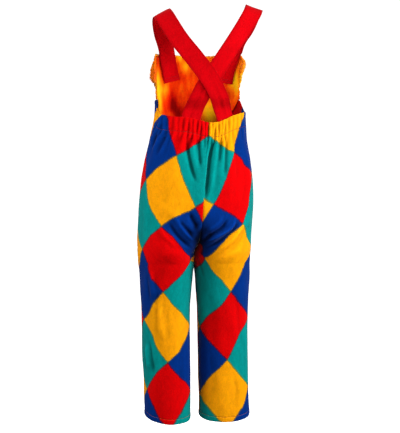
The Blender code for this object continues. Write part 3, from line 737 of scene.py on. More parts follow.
def make_panels():
    for side in ("left", "right"):
        g = side_grids(side)
        rise, painted_shade_and_highlight = cloth_rise(side, g)
        hem, down = g["hem"], g["waist"]
        edged = ease((0.66 - g["u"]) / 0.03)
        thick = CLOTH + 0.0010 * ease((0.0118 - hem) / 0.003) + 0.0004 * ease((0.030 - down) / 0.003) * edged
        top_in = rounded(down, 0.0016, thick)
        foot_in = rounded(hem, 0.0018, thick)
        outer = g["p"] + g["n"] * (rise - top_in - foot_in)[..., None]
        inner = g["p"] + g["n"] * (rise - thick + top_in + foot_in)[..., None]
        i, j = lattice(side, g["s"], g["z"])
        for part, cut in (("back", slice(0, COLUMNS)), ("front", slice(COLUMNS, 2 * COLUMNS))):
            o, n = outer[:, cut].copy(), inner[:, cut].copy()
            for points in (o, n):
                middle = smooth(MIDDLE, points[..., 2], 1)
                if part == "back":
                    points[..., 1] = np.minimum(points[..., 1], -SEAM)
                else:
                    points[..., 1] = np.maximum(points[..., 1], SEAM)
                if side == "left":
                    points[..., 0] = np.minimum(points[..., 0], middle - SEAM)
                else:
                    points[..., 0] = np.maximum(points[..., 0], middle + SEAM)
            cell = np.stack([i[:, cut], j[:, cut], 0 * i[:, cut]], -1).reshape(-1, 3)
            cell = np.concatenate([cell, cell])
            inside = np.concatenate([np.zeros(o.shape[:2]).ravel(), np.ones(o.shape[:2]).ravel()])
            # painted shade and highlight, on the outer face only
            deep = np.concatenate([painted_shade_and_highlight[:, cut].ravel(), 0 * painted_shade_and_highlight[:, cut].ravel()])
            name = f"{part}_{side}_fleece"
            PIECES[name] = shell(name, o, n, HOME, {"cell": cell, "inside": inside, "painted_shade_and_highlight": deep})
            ON_CLOTH[(part, side)] = (o, g["n"][:, cut], g["u"][:, cut], g["r"][:, cut], hem[:, cut], down[:, cut])


# ---------------------------------------------------------------- bib
# Warmth of the dye on the bib, with painted shadow in two of its patches: 0 dark red, 0.3 red, 0.6 orange, 1 yellow. x,
# z, half width, half height (m), change
FLAMES = (
    (-0.103, -0.180, 0.0065, 0.030, 0.60),
    (-0.108, -0.150, 0.0060, 0.018, 0.30),
    (-0.101, -0.221, 0.0080, 0.016, 0.30),
    (-0.086, -0.178, 0.0100, 0.017, 0.34),
    # these two patches are darker dye, deepened by painted shadow of the straps on the bib's lower left
    (-0.067, -0.205, 0.0125, 0.026, -0.36),
    (-0.052, -0.227, 0.0160, 0.016, -0.30),
    (-0.073, -0.229, 0.0080, 0.007, 0.14),
    (-0.052, -0.104, 0.0080, 0.012, 0.50),
    (-0.038, -0.124, 0.0100, 0.014, 0.40),
    (-0.048, -0.155, 0.0120, 0.014, -0.12),
    (0.012, -0.108, 0.0160, 0.010, 0.22),
    (0.017, -0.228, 0.0190, 0.030, 0.56),
    (0.076, -0.163, 0.0050, 0.026, 0.62),
    (0.069, -0.150, 0.0050, 0.014, 0.45),
    (0.066, -0.166, 0.0060, 0.014, 0.25),
    (0.081, -0.128, 0.0050, 0.016, 0.25),
    (0.074, -0.120, 0.0050, 0.012, -0.10),
)


def warmth(x, z, seed=5):
    heat = 0.39 + 0.06 * cloth_noise(x, z, 0.014, 0.050, seed) + 0.05 * cloth_noise(x, z, 0.006, 0.024, seed + 1)
    for cx, cz, wide, tall, change in FLAMES:
        heat = heat + change * np.exp(-(((x - cx) / wide) ** 2) - (((z - cz) / tall) ** 2))
    return np.clip(heat, 0.02, 1.0)


def front_warmth(x, z, seed=15):
    """Tongues of flame rising from the bib's foot, for the pile on its face."""
    lick = cloth_noise(x, z, 0.020, 0.060, seed) + 0.5 * cloth_noise(x, z, 0.009, 0.034, seed + 1)
    up = (z - BIB_FOOT) / (BIB_TOP - BIB_FOOT)
    heat = 0.30 + 0.46 * up + 0.42 * lick
    return np.clip(heat, 0.05, 1.0)


def make_bib():
    cols, rows = 150, 74
    theta = np.linspace(-BIB_REACH, BIB_REACH, cols)
    s = np.concatenate([[0.003, 0.010], np.linspace(0.02, 0.985, rows - 4), [0.994, 1.0]])
    tt, ss = np.meshgrid(theta, s, indexing="xy")
    outer, n = bib_point(tt, ss, 0.0)
    arc = tt * 0.085
    wave = 0.0010 * cloth_noise(arc, ss * 0.0955, 0.030, 0.050, 61) + 0.0004 * cloth_noise(arc, ss * 0.0955, 0.010, 0.016, 62)
    nap = 0.00018 * cloth_noise(arc, ss * 0.0955, 0.0022, 0.0040, 63)
    calm = ease(ss / 0.10)
    edge = np.minimum((BIB_REACH - np.abs(tt)) * 0.10, (1 - ss) * 0.0955)
    draw = rounded(edge, 0.0016, BIB_CLOTH)
    o = outer + n * (wave * calm * 0.5 - draw)[..., None]
    i = outer + n * (np.minimum(wave, 0.0006) * calm * 0.5 + nap - BIB_CLOTH + draw)[..., None]
    heat = warmth(outer[..., 0], outer[..., 2])
    heat_out = front_warmth(outer[..., 0], outer[..., 2])
    values = {"warmth": np.concatenate([heat_out.ravel(), heat.ravel()])}
    PIECES["bib_cloth"] = shell("bib_cloth", o, i, HOME, values)


def front_of_trunk(theta, z):
    """The outer face of the front panels at a place round the bib and a height, and its normal."""

    def at(th, zz):
        d, c = np.abs(np.sin(th)), np.abs(np.cos(th))
        power = CHEST + (1 - CHEST) * ease((-0.20 - zz) / 0.14)
        reach = np.where(th < 0, smooth(TRUNK, zz, 1), smooth(TRUNK, zz, 2))
        x = smooth(MIDDLE, zz, 1) + np.sign(th) * reach * d**power
        return np.stack([x, smooth(TRUNK, zz, 4) * c**power, zz], -1)

    e = 0.01
    across = at(theta + e, z) - at(theta - e, z)
    n = np.cross(across, at(theta, z + 0.001) - at(theta, z - 0.001))
    n /= np.linalg.norm(n, axis=-1, keepdims=True)
    n = n * np.where(n[..., 1:2] < 0, -1.0, 1.0)
    return at(theta, z), n


def make_bib_foot():
    """The bib's cloth below its seam, hanging inside the front panels down to the height of the back waist."""
    cols, rows = 130, 44
    t, down = np.meshgrid(np.linspace(-1, 1, cols), np.linspace(0, 0.066, rows), indexing="xy")
    z = -0.1915 - down
    left = np.radians(64.5)
    right = np.radians(66.5) - np.radians(19.0) * ease((down - 0.006) / 0.040)
    theta = np.where(t < 0, t * left, t * right)
    face, n = front_of_trunk(theta, z)
    arc = theta * 0.088
    fold = 0.0010 * cloth_noise(arc, z, 0.022, 0.060, 91) * ease(down / 0.02)
    drop = 0.0022 + 0.0020 * ease(down / 0.022)
    thick = 0.0003 + 0.0013 * ease(down / 0.010)
    edge = np.minimum((1 - np.abs(t)) * 0.10, 0.066 - down)
    draw = np.minimum(rounded(edge, 0.0012, 0.0016), thick / 2 - 0.00005)
    o = face + n * (fold * 0.5 - drop - draw)[..., None]
    i = face + n * (fold * 0.5 - drop - thick + draw)[..., None]
    heat = warmth(face[..., 0], face[..., 2])
    PIECES["bib_foot_cloth"] = shell("bib_foot_cloth", o, i, HOME, {"warmth": np.concatenate([heat.ravel()] * 2)})


def make_pile():
    """Long pile on the bib's face and round its edges: tapered locks, drawn together into tufts."""
    rng = np.random.default_rng(77)
    count, extra, side_extra = 12300, 2500, 2500  # over the face, along the top edge, and down each side
    theta = rng.uniform(-BIB_REACH, BIB_REACH, count)
    s = rng.uniform(0.03, 0.985, count)
    theta = np.concatenate([theta, rng.uniform(-BIB_REACH, BIB_REACH, extra)])
    s = np.concatenate([s, 1 - np.abs(rng.normal(0, 0.012, extra))])
    turn = np.repeat([-1.0, 1.0], side_extra)
    theta = np.concatenate([theta, turn * (BIB_REACH - np.abs(rng.normal(0, 0.020, 2 * side_extra)))])
    low = rng.uniform(0.40, 1.0, 2 * side_extra)
    high_up = np.clip(rng.normal(0.74, 0.16, 2 * side_extra), 0.3, 1.0)
    s = np.concatenate([s, np.where(rng.uniform(size=2 * side_extra) < 0.30, low, high_up)])
    total = len(theta)
    on_top = np.zeros(total)
    on_top[count : count + extra] = 1.0
    on_side = np.zeros(total)
    on_side[count + extra :] = 1.0
    root, n = bib_point(theta, s, -0.0004)
    tangent, _ = bib_point(theta + 0.01, s, 0.0)
    base, _ = bib_point(theta, s, 0.0)
    across = tangent - base
    across /= np.linalg.norm(across, axis=1)[:, None]
    up = np.array([0.0, 0.0, 1.0])
    arc = theta * 0.09
    z = BIB_FOOT + s * (BIB_TOP - BIB_FOOT)
    high = s * (BIB_TOP - BIB_FOOT)
    # how far the upper corners' pile stands out to each side: height, left, right
    lobes = np.array([(-0.200, 0.0012, 0.0012), (-0.176, 0.0012, 0.0022), (-0.163, 0.0030, 0.0040), (-0.155, 0.0110, 0.0052), (-0.147, 0.0165, 0.0066), (-0.134, 0.0140, 0.0105), (-0.122, 0.0105, 0.0150), (-0.112, 0.0065, 0.0110), (-0.104, 0.0036, 0.0050)])
    lobe = np.where(theta < 0, smooth(lobes, z, 1), smooth(lobes, z, 2))
    edge = ease((np.abs(theta) - BIB_REACH * 0.88) / (BIB_REACH * 0.12))
    top = ease((s - 0.90) / 0.10)
    lean = 0.35 * cloth_noise(arc, high, 0.020, 0.030, 81)
    out = 0.42 + 0.25 * rng.uniform(size=total)
    out = out + on_top * 0.1 - on_side * 0.34
    # below the corners the pile of the two ends lies flat
    flat_lying = ease((np.abs(theta) / BIB_REACH - 0.60) / 0.30) * (1 - np.clip(lobe / 0.010, 0, 1))
    out = out * (1 - 0.85 * flat_lying * (1 - on_side))
    drop = np.where(on_top > 0, 0.95, np.where(on_side > 0, np.where(theta < 0, -0.38, 0.16), -0.80))
    sideways = lean * (1 - on_side) + np.sign(theta) * (1.0 * on_side + 0.25 * edge * (1 - on_side))
    direction = n * out[:, None] + up * drop[:, None] + across * sideways[:, None]
    flank = np.stack([np.sign(theta), 0 * theta - 0.10, drop], 1)
    direction = np.where(on_side[:, None] > 0, flank, direction)
    direction += rng.normal(0, 0.15, (total, 3)) * np.where(on_side[:, None] > 0, 1.5, 1.0)
    direction /= np.linalg.norm(direction, axis=1)[:, None]
    length = 0.0165 * (0.75 + 0.5 * rng.uniform(size=total))
    length = np.where(on_top > 0, 0.0042 + 0.0026 * rng.uniform(size=total), length)
    length = np.where(on_side > 0, lobe * (0.62 + 0.50 * rng.uniform(size=total)) + 0.001, length)
    length = np.where((on_side + on_top == 0), length * (1 - edge * (0.90 - 0.55 * np.clip(lobe / 0.012, 0, 1))), length)
    length = np.where(s < 0.12, length * 0.75, length)
    length = np.where((on_side + on_top == 0), length * (1 - 0.5 * flat_lying), length)
    tip = root + direction * length[:, None]
    # tufts: each tip is drawn towards the tip of the nearest of the locks chosen as leaders
    leaders = rng.choice(total, 760, replace=False)
    flat = np.stack([arc, high], 1)
    lead = np.empty(total, int)
    for k in range(0, total, 4000):
        gap = np.linalg.norm(flat[k : k + 4000, None] - flat[None, leaders], axis=2)
        lead[k : k + 4000] = leaders[gap.argmin(1)]
    pull = (0.45 + 0.25 * rng.uniform(size=total)) * (1 - 0.55 * np.maximum(on_top, on_side))
    tip = tip + (tip[lead] - tip) * pull[:, None]
    middle = root + (tip - root) * 0.5 + n * (0.0022 * (1 - 0.8 * np.maximum(on_top, on_side)))[:, None]
    tip[:, 2] -= 0.0025 * (1 - on_top) * (1 - 0.6 * on_side)
    wide = 0.00046 * (0.8 + 0.5 * rng.uniform(size=total))
    axis = tip - root
    axis /= np.linalg.norm(axis, axis=1)[:, None]
    e1 = np.cross(axis, n)
    e1 /= np.linalg.norm(e1, axis=1)[:, None] + 1e-12
    e2 = np.cross(axis, e1)
    corners = []
    for centre, radius in ((root, wide), (middle, wide * 0.85)):
        for k in range(3):
            a = 2 * np.pi * k / 3
            corners.append(centre + (e1 * np.cos(a) + e2 * np.sin(a)) * radius[:, None])
    corners.append(tip)
    points = np.stack(corners, 1).reshape(-1, 3)
    start = np.arange(total)[:, None] * 7
    shape = np.array(
        [(0, 2, 1), (0, 1, 4), (0, 4, 3), (1, 2, 5), (1, 5, 4), (2, 0, 3), (2, 3, 5), (3, 4, 6), (4, 5, 6), (5, 3, 6)]
    )
    faces = (start[:, None, :] + shape[None]).reshape(-1, 3)
    lock_heat = front_warmth(root[:, 0], root[:, 2])
    # at the edges it takes the colour that shows behind: orange above at the left, red with an orange tip at the right, yellow below
    aim = np.where(theta < 0, 0.56 + 0.30 * ease((-0.150 - z) / 0.02), 0.70 - 0.10 * ease((z + 0.13) / 0.02) + 0.33 * ease((-0.138 - z) / 0.012))
    aim = np.where(on_top > 0, 0.80 + 0.10 * cloth_noise(arc, high, 0.02, 0.1, 83), aim)
    lock_heat = lock_heat + (aim - lock_heat) * 0.85 * np.maximum(edge, np.maximum(on_top, on_side))
    lock_heat = np.clip(lock_heat + rng.normal(0, 0.07, total), 0.03, 1)
    shade = 0.86 + 0.26 * rng.uniform(size=total)
    along = np.tile(np.array([0, 0, 0, 0.55, 0.55, 0.55, 1.0]), total)
    heat = np.repeat(lock_heat, 7) + 0.10 * along
    # tone of each lock: random, with painted light on the locks at the top and sides and painted shade towards the
    # roots
    PIECES["bib_pile"] = mesh_of(
        "bib_pile", points, faces, HOME, {"warmth": np.clip(heat, 0, 1), "lock_tone_and_light": np.minimum(np.repeat(shade * (1 + 0.22 * np.maximum(on_top, on_side)), 7) * (0.84 + 0.20 * along), 1.02)}
    )


# ---------------------------------------------------------------- straps
def evened(values, wide):
    """A run of rows, each averaged with its neighbours."""
    k = np.arange(-3 * wide, 3 * wide + 1)
    w = np.exp(-0.5 * (k / wide) ** 2)
    w /= w.sum()
    first, last = values[:1], values[-1:]
    steps = 3 * wide
    slope_a, slope_b = values[1] - values[0], values[-1] - values[-2]
    head = first + slope_a * np.arange(-steps, 0)[:, None]
    tail = last + slope_b * np.arange(1, steps + 1)[:, None]
    padded = np.concatenate([head, values, tail])
    return np.stack([np.convolve(padded[:, c], w, mode="valid") for c in range(values.shape[1])], 1)


def strap_frame(table, stations):
    """Middle line, direction across and outward normal of a strap, as the construction lays it."""
    line = curve(table, stations)
    middle, across = evened(line[:, :3], 3), evened(line[:, 3:6], 12)
    along = np.gradient(middle, axis=0)
    along /= np.linalg.norm(along, axis=1)[:, None]
    across = across - (across * along).sum(1)[:, None] * along
    across /= np.linalg.norm(across, axis=1)[:, None]
    return middle, across


def strap_sheet(table, stations, w):
    """Points of the strap's middle layer at shares w of its width, and their normals."""
    middle, across = strap_frame(table, stations)
    mid = middle[:, None, :] + across[:, None, :] * (w[None, :, None] * STRAP_WIDTH)
    x, y, z = mid[..., 0], mid[..., 1], mid[..., 2]
    clear = CLOTH + REST + STRAP_CLOTH / 2
    middle_x = smooth(MIDDLE, z, 1)
    reach = np.where(x < middle_x, smooth(TRUNK, z, 1), smooth(TRUNK, z, 2)) - clear
    inside = -(smooth(TRUNK, z, 3) - clear) * np.sqrt(
        np.clip(1 - ((x - middle_x) / reach) ** 2, 0.04, 1)
    )
    at_back = ease((-0.196 - z) / 0.032) * (y < 0)
    share = np.clip((z - BIB_FOOT) / (BIB_TOP - BIB_FOOT), 0, 1.2)
    reach_b = np.where(x < BIB_MIDDLE, BIB_LEFT, BIB_RIGHT) + 0.0010 * share - clear
    deep_b = 0.0694 - 0.0050 * share + 0.004 * np.sin(np.pi * np.clip(share, 0, 1)) - clear
    on_bib = deep_b * np.clip(1 - (np.abs(x - BIB_MIDDLE) / reach_b) ** (2 / CHEST), 0.02, 1) ** (CHEST / 2)
    at_front = ease((-0.062 - z) / 0.034) * (y > 0)
    mid[..., 1] = y + (inside - y) * at_back + (on_bib - y) * at_front
    ds, dw = np.gradient(mid, axis=0), np.gradient(mid, axis=1)
    normal = np.cross(dw, ds)
    normal /= np.linalg.norm(normal, axis=-1, keepdims=True)
    if normal[0, 0, 1] > 0:
        normal = -normal
    return mid, normal


def make_strap(name, table, seed):
    stations, half = 300, 26
    # once round the flat tube: shares of the width, and which face
    w = np.sin(np.linspace(-np.pi / 2, np.pi / 2, half)) * 0.5
    w = np.sign(w) * np.abs(w * 2) ** 0.85 / 2
    mid, normal = strap_sheet(table, stations, w)
    length = np.linalg.norm(np.diff(mid[:, half // 2], axis=0), axis=1).sum()
    t = np.linspace(0, 1, stations)[:, None] * length
    ww = w[None, :] * STRAP_WIDTH
    to_edge = STRAP_WIDTH / 2 - np.abs(ww)
    to_end = np.minimum(t, length - t)
    body = np.sqrt(np.clip(1 - (1 - np.clip(to_edge / 0.0017, 0, 1)) ** 2, 0, 1))
    ends = np.sqrt(np.clip(1 - (1 - np.clip(to_end / 0.0016, 0, 1)) ** 2, 0, 1))
    thick = STRAP_CLOTH / 2 * (1.02 - 0.10 * ease(to_edge / 0.012)) * body * ends
    puff = 0.00032 * cloth_noise(ww, t, 0.012, 0.030, seed) * body * ends
    nap = 0.00012 * cloth_noise(ww, t, 0.0022, 0.0026, seed + 1) * body * ends
    seamline = -0.0004 * np.exp(-(((to_edge - 0.0030) / 0.0012) ** 2)) * body
    # a lengthwise crease where each strap is drawn into the waist, and stitches near both ends
    fade = ease((0.14 - t) / 0.07)
    crease = 0.0014 * np.exp(-(((ww - 0.006) / 0.0022) ** 2)) * fade
    crease = crease - 0.0013 * np.exp(-(((ww + 0.001) / 0.0018) ** 2)) * fade
    bar = -0.0006 * (np.exp(-(((to_end - 0.0055) / 0.0010) ** 2)))
    bow = 0.0009 * cloth_noise(ww * 0.35, t, 0.012, 0.060, seed + 4) * ease(to_end / 0.12)
    outer = mid + normal * (thick + puff + nap + seamline + bar * 0.6 + crease + bow)[..., None]
    inner = mid - normal * (thick + puff * 0.6 - nap + seamline * 0.6 + bar * 0.3 - crease * 0.5 - bow)[..., None]
    # painted shade: darker along the rounded edges and in the creases near the waist, with a little random tone
    strap_shade_and_tone = 1 - 0.24 * (1 - ease(to_edge / 0.0075)) - 0.14 * np.exp(-(((ww + 0.001) / 0.0018) ** 2)) * fade
    strap_shade_and_tone = strap_shade_and_tone - 0.10 * np.exp(-(((ww - 0.011) / 0.0020) ** 2)) * fade + 0.04 * cloth_noise(ww, t, 0.012, 0.045, seed + 9)
    PIECES[name] = shell(name, outer, inner, HOME, {"strap_shade_and_tone": np.concatenate([strap_shade_and_tone.ravel()] * 2)})
    ON_CLOTH[name] = (outer, inner, normal, w, t[:, 0], length)


# ---------------------------------------------------------------- stitches
def stitch_rows(name, centres, along, up, size=(0.0026, 0.00042)):
    """Small rounded stitches laid in the cloth, joined into one mesh."""
    long, fat = size
    along = along / (np.linalg.norm(along, axis=1)[:, None] + 1e-12)
    up = up - (up * along).sum(1)[:, None] * along
    up /= np.linalg.norm(up, axis=1)[:, None] + 1e-12
    across = np.cross(along, up)
    ring = 6
    rings = ((-0.5, 0.35, -0.9), (-0.30, 0.95, -0.1), (0.0, 1.05, 0.15), (0.30, 0.95, -0.1), (0.5, 0.35, -0.9))
    points = []
    for place, radius, lift in rings:
        for k in range(ring):
            a = 2 * np.pi * k / ring
            points.append(
                centres
                + along * (place * long)
                + (across * np.cos(a) * radius + up * (np.sin(a) * radius * 0.8 + lift)) * fat
            )
    points = np.stack(points, 1)
    n = points.shape[1]
    shape = []
    for a in range(len(rings) - 1):
        for k in range(ring):
            b = (k + 1) % ring
            p, q, v, w = a * ring + k, a * ring + b, (a + 1) * ring + b, (a + 1) * ring + k
            shape += [(p, v, q), (p, w, v)]
    for k in range(1, ring - 1):
        shape.append((0, k, k + 1))
        last = (len(rings) - 1) * ring
        shape.append((last, last + k + 1, last + k))
    shape = np.array(shape)
    faces = (np.arange(len(centres))[:, None, None] * n + shape[None]).reshape(-1, 3)
    first = points[0][shape]
    volume = np.einsum("ij,ij->i", first[:, 0] - centres[0], np.cross(first[:, 1] - centres[0], first[:, 2] - centres[0])).sum()
    if volume < 0:
        faces = faces[:, ::-1]
    return mesh_of(name, points.reshape(-1, 3), faces, HOME)


def along_row(points, normals, pitch):
    """Evenly spaced places on a line of points, with directions and normals."""
    step = np.linalg.norm(np.diff(points, axis=0), axis=1)
    length = np.concatenate([[0], np.cumsum(step)])
    at = np.arange(pitch * 0.7, length[-1] - pitch * 0.5, pitch)
    place = np.stack([np.interp(at, length, points[:, k]) for k in range(3)], 1)
    more = np.stack([np.interp(at + pitch * 0.2, length, points[:, k]) for k in range(3)], 1)
    n = np.stack([np.interp(at, length, normals[:, k]) for k in range(3)], 1)
    return place, more - place, n


def make_stitches():
    for key, level, label, pitch in (("hem", 0.0112, "hem_stitches", 0.0034), ("waist", None, "casing_stitches", 0.0034)):
        gathered = [[], [], []]
        for part in ("back", "front"):
            for side in ("left", "right"):
                o, n, u, r, hem, down = ON_CLOTH[(part, side)]
                line, normals = [], []
                for c in range(2, o.shape[1] - 2):
                    d = hem[:, c] if key == "hem" else down[:, c]
                    uc = u[0, c]
                    if key == "hem":
                        want = level
                    else:
                        if uc > 0.63:
                            continue
                        want = 0.031 + (0.0085 - 0.031) * float(ease((uc - 0.36) / 0.07))
                    order = np.argsort(d)
                    line.append([np.interp(want, d[order], o[order, c, k]) for k in range(3)])
                    normals.append([np.interp(want, d[order], n[order, c, k]) for k in range(3)])
                if len(line) < 3:
                    continue
                a, b, c = along_row(np.array(line), np.array(normals), pitch)
                for store, got in zip(gathered, (a + c * 0.00012, b, c)):
                    store.append(got)
        PIECES[label] = stitch_rows(label, *[np.concatenate(x) for x in gathered])
    gathered = [[], [], []]
    for name in ("strap_left_band", "strap_right_band"):
        outer, inner, normal, w, t, length = ON_CLOTH[name]
        for end in (length - 0.0055, length - 0.0095):
            row = int(np.argmin(np.abs(t - end)))
            # the side that faces the wearer's back, towards the inside of the bib
            line, n = inner[row, 3:-3], -normal[row, 3:-3]
            if (n[:, 1].mean()) > 0:
                line, n = outer[row, 3:-3], normal[row, 3:-3]
            a, b, c = along_row(line, n, 0.0032)
            for store, got in zip(gathered, (a + c * 0.0002, b, c)):
                store.append(got)
    PIECES["strap_stitches"] = stitch_rows("strap_stitches", *[np.concatenate(x) for x in gathered])


# ---------------------------------------------------------------- materials
class Nodes:
    def __init__(self, name):
        self.material = bpy.data.materials.new(name)
        self.material.use_nodes = True
        self.tree = self.material.node_tree
        self.shader = self.tree.nodes["Principled BSDF"]

    def add(self, kind, **settings):
        node = self.tree.nodes.new(kind)
        for key, value in settings.items():
            setattr(node, key, value)
        return node

    def link(self, a, b):
        self.tree.links.new(a, b)

    def math(self, op, a, b=None, c=None, clamp=False):
        node = self.add("ShaderNodeMath", operation=op, use_clamp=clamp)
        for k, v in enumerate((a, b, c)):
            if v is None:
                continue
            if isinstance(v, (int, float)):
                node.inputs[k].default_value = v
            else:
                self.link(v, node.inputs[k])
        return node.outputs[0]

    def noise(self, scale, detail=2.0, stretch=(1, 1, 1), rough=0.5):
        co = self.add("ShaderNodeTexCoord")
        move = self.add("ShaderNodeMapping")
        move.inputs["Scale"].default_value = stretch
        self.link(co.outputs["Object"], move.inputs["Vector"])
        node = self.add("ShaderNodeTexNoise")
        node.inputs["Scale"].default_value = scale
        node.inputs["Detail"].default_value = detail
        node.inputs["Roughness"].default_value = rough
        self.link(move.outputs[0], node.inputs["Vector"])
        return node.outputs["Fac"]

    def mix(self, fac, a, b, blend="MIX"):
        node = self.add("ShaderNodeMix", data_type="RGBA", blend_type=blend)
        self.link(fac, node.inputs["Factor"]) if not isinstance(fac, (int, float)) else setattr(
            node.inputs["Factor"], "default_value", fac
        )
        for socket, value in ((node.inputs[6], a), (node.inputs[7], b)):
            if isinstance(value, tuple):
                socket.default_value = value
            else:
                self.link(value, socket)
        return node.outputs[2]

    def scaled(self, colour, factor):
        """A colour times a number that varies over the surface."""
        node = self.add("ShaderNodeVectorMath", operation="SCALE")
        self.link(colour, node.inputs[0])
        self.link(factor, node.inputs["Scale"])
        return node.outputs[0]

    def spread(self, value, low, high, from_low=0.3, from_high=0.7):
        node = self.add("ShaderNodeMapRange")
        node.inputs["From Min"].default_value = from_low
        node.inputs["From Max"].default_value = from_high
        node.inputs["To Min"].default_value = low
        node.inputs["To Max"].default_value = high
        self.link(value, node.inputs["Value"])
        return node.outputs["Result"]

    def bump(self, height, strength, distance, before=None):
        node = self.add("ShaderNodeBump")
        node.inputs["Strength"].default_value = strength
        node.inputs["Distance"].default_value = distance
        self.link(height, node.inputs["Height"])
        if before is not None:
            self.link(before, node.inputs["Normal"])
        return node.outputs["Normal"]

    def attribute(self, name):
        return self.add("ShaderNodeAttribute", attribute_name=name)


def rgb(r, g, b):
    c = np.array([r, g, b]) / 255.0
    c = np.where(c <= 0.04045, c / 12.92, ((c + 0.055) / 1.055) ** 2.4)
    return tuple(float(x) for x in c) + (1.0,)




def ink(r, g, b):
    """A dye as its share of full brightness, to be mixed evenly to the eye and then turned to light."""
    return tuple(float(x) for x in (np.array(rgb(r, g, b)[:3]) ** (1 / 2.2))) + (1.0,)


RED, YELLOW = ink(207, 0, 3), ink(242, 157, 4)
TEAL, BLUE = ink(0, 134, 130), ink(0, 44, 121)


def fleece_finish(n, colour, nap_scale=520.0, sheen=0.10):
    """Brushed nap: fine mottle, a soft pile that catches light at the edges, and matt all over."""
    fine = n.noise(nap_scale, 3.0, (1, 1, 0.55), 0.6)
    tufts = n.noise(150.0, 2.0, (1, 1, 0.6), 0.55)
    broad = n.noise(22.0, 2.0)
    tone = n.math("MULTIPLY", n.spread(fine, 0.90, 1.09), n.spread(tufts, 0.93, 1.06))
    tone = n.math("MULTIPLY", tone, n.spread(broad, 0.96, 1.04))
    n.link(n.scaled(colour, tone), n.shader.inputs["Base Color"])
    normal = n.bump(fine, 0.55, 0.0007)
    normal = n.bump(tufts, 0.35, 0.0012, normal)
    n.link(normal, n.shader.inputs["Normal"])
    rough = n.spread(tufts, 0.90, 1.0)
    n.link(rough, n.shader.inputs["Roughness"])
    n.shader.inputs["Specular IOR Level"].default_value = 0.04
    n.shader.inputs["Sheen Weight"].default_value = sheen * 0.8
    n.shader.inputs["Sheen Roughness"].default_value = 0.30
    return n.material


def printed_fleece():
    n = Nodes("printed_fleece")
    cell = n.add("ShaderNodeSeparateXYZ")
    n.link(n.attribute("cell").outputs["Vector"], cell.inputs[0])
    wander = n.spread(n.noise(420.0, 2.0), -0.010, 0.010)
    drift = n.spread(n.noise(26.0, 1.0), -0.014, 0.014)
    p = n.math("ADD", cell.outputs[0], cell.outputs[1])
    q = n.math("SUBTRACT", cell.outputs[0], cell.outputs[1])
    p = n.math("ADD", n.math("ADD", p, wander), drift)
    q = n.math("SUBTRACT", n.math("ADD", q, wander), drift)
    even_p = n.math("MULTIPLY_ADD", n.math("COSINE", n.math("MULTIPLY", p, np.pi)), 7.5, 0.5, clamp=True)
    even_q = n.math("MULTIPLY_ADD", n.math("COSINE", n.math("MULTIPLY", q, np.pi)), 7.5, 0.5, clamp=True)
    # the yellow dye is a little thinner and more orange where the brushed nap parts
    thin = n.spread(n.noise(90.0, 3.0, (1, 1, 0.35)), 0.0, 0.40)
    with_red = n.mix(even_p, TEAL, RED)
    with_blue = n.mix(even_p, n.mix(thin, YELLOW, ink(240, 146, 10)), BLUE)
    lit = n.add("ShaderNodeGamma")
    n.link(n.mix(even_q, with_blue, with_red), lit.inputs["Color"])
    lit.inputs["Gamma"].default_value = 2.2
    colour = lit.outputs[0]
    # neighbouring dyes run into each other and darken where they meet
    meet_p = n.math("MULTIPLY", even_p, n.math("SUBTRACT", 1.0, even_p))
    meet_q = n.math("MULTIPLY", even_q, n.math("SUBTRACT", 1.0, even_q))
    dark = n.math("SUBTRACT", 1.0, n.math("MULTIPLY", n.math("MAXIMUM", meet_p, meet_q), 1.3))
    # painted shade in the fold valleys and at the seat, painted highlight on the ridges
    deep = n.attribute("painted_shade_and_highlight").outputs["Fac"]
    painted_shade = n.math("SUBTRACT", 1.0, n.math("MULTIPLY", n.math("MAXIMUM", deep, 0.0), 0.60))
    painted_highlight = n.math("MULTIPLY_ADD", n.math("MINIMUM", deep, 0.0), -0.28, 1.0)
    painted_shade = n.math("MULTIPLY", painted_shade, painted_highlight)
    colour = n.scaled(colour, n.math("MULTIPLY", dark, painted_shade))
    # the wrong side is duller, and darker still as painted shade on the inner faces
    duller_and_shaded = n.math("SUBTRACT", 1.0, n.math("MULTIPLY", n.attribute("inside").outputs["Fac"], 0.45))
    colour = n.scaled(colour, duller_and_shaded)
    return fleece_finish(n, colour)


def strap_fleece():
    n = Nodes("strap_cloth")
    colour = n.mix(n.spread(n.noise(60.0, 2.0), 0.0, 1.0), rgb(200, 0, 10), rgb(191, 0, 8))
    # painted shade along the strap's edges and creases, and a little random tone
    colour = n.scaled(colour, n.attribute("strap_shade_and_tone").outputs["Fac"])
    return fleece_finish(n, colour, 560.0, 0.10)


def flame_ramp(n, heat):
    ramp = n.add("ShaderNodeValToRGB")
    stops = ramp.color_ramp.elements
    stops[0].position, stops[0].color = 0.0, rgb(120, 0, 0)
    stops[1].position, stops[1].color = 1.0, rgb(255, 196, 16)
    for at, colour in ((0.22, rgb(190, 14, 0)), (0.40, rgb(232, 52, 0)), (0.60, rgb(250, 112, 4)), (0.80, rgb(255, 166, 8))):
        stop = stops.new(at)
        stop.color = colour
    n.link(heat, ramp.inputs["Fac"])
    return ramp.outputs["Color"]


def dyed_bib():
    n = Nodes("dyed_bib")
    streak = n.spread(n.noise(120.0, 3.0, (1, 1, 0.22)), -0.06, 0.06)
    heat = n.math("ADD", n.attribute("warmth").outputs["Fac"], streak)
    return fleece_finish(n, flame_ramp(n, heat), 420.0, 0.08)


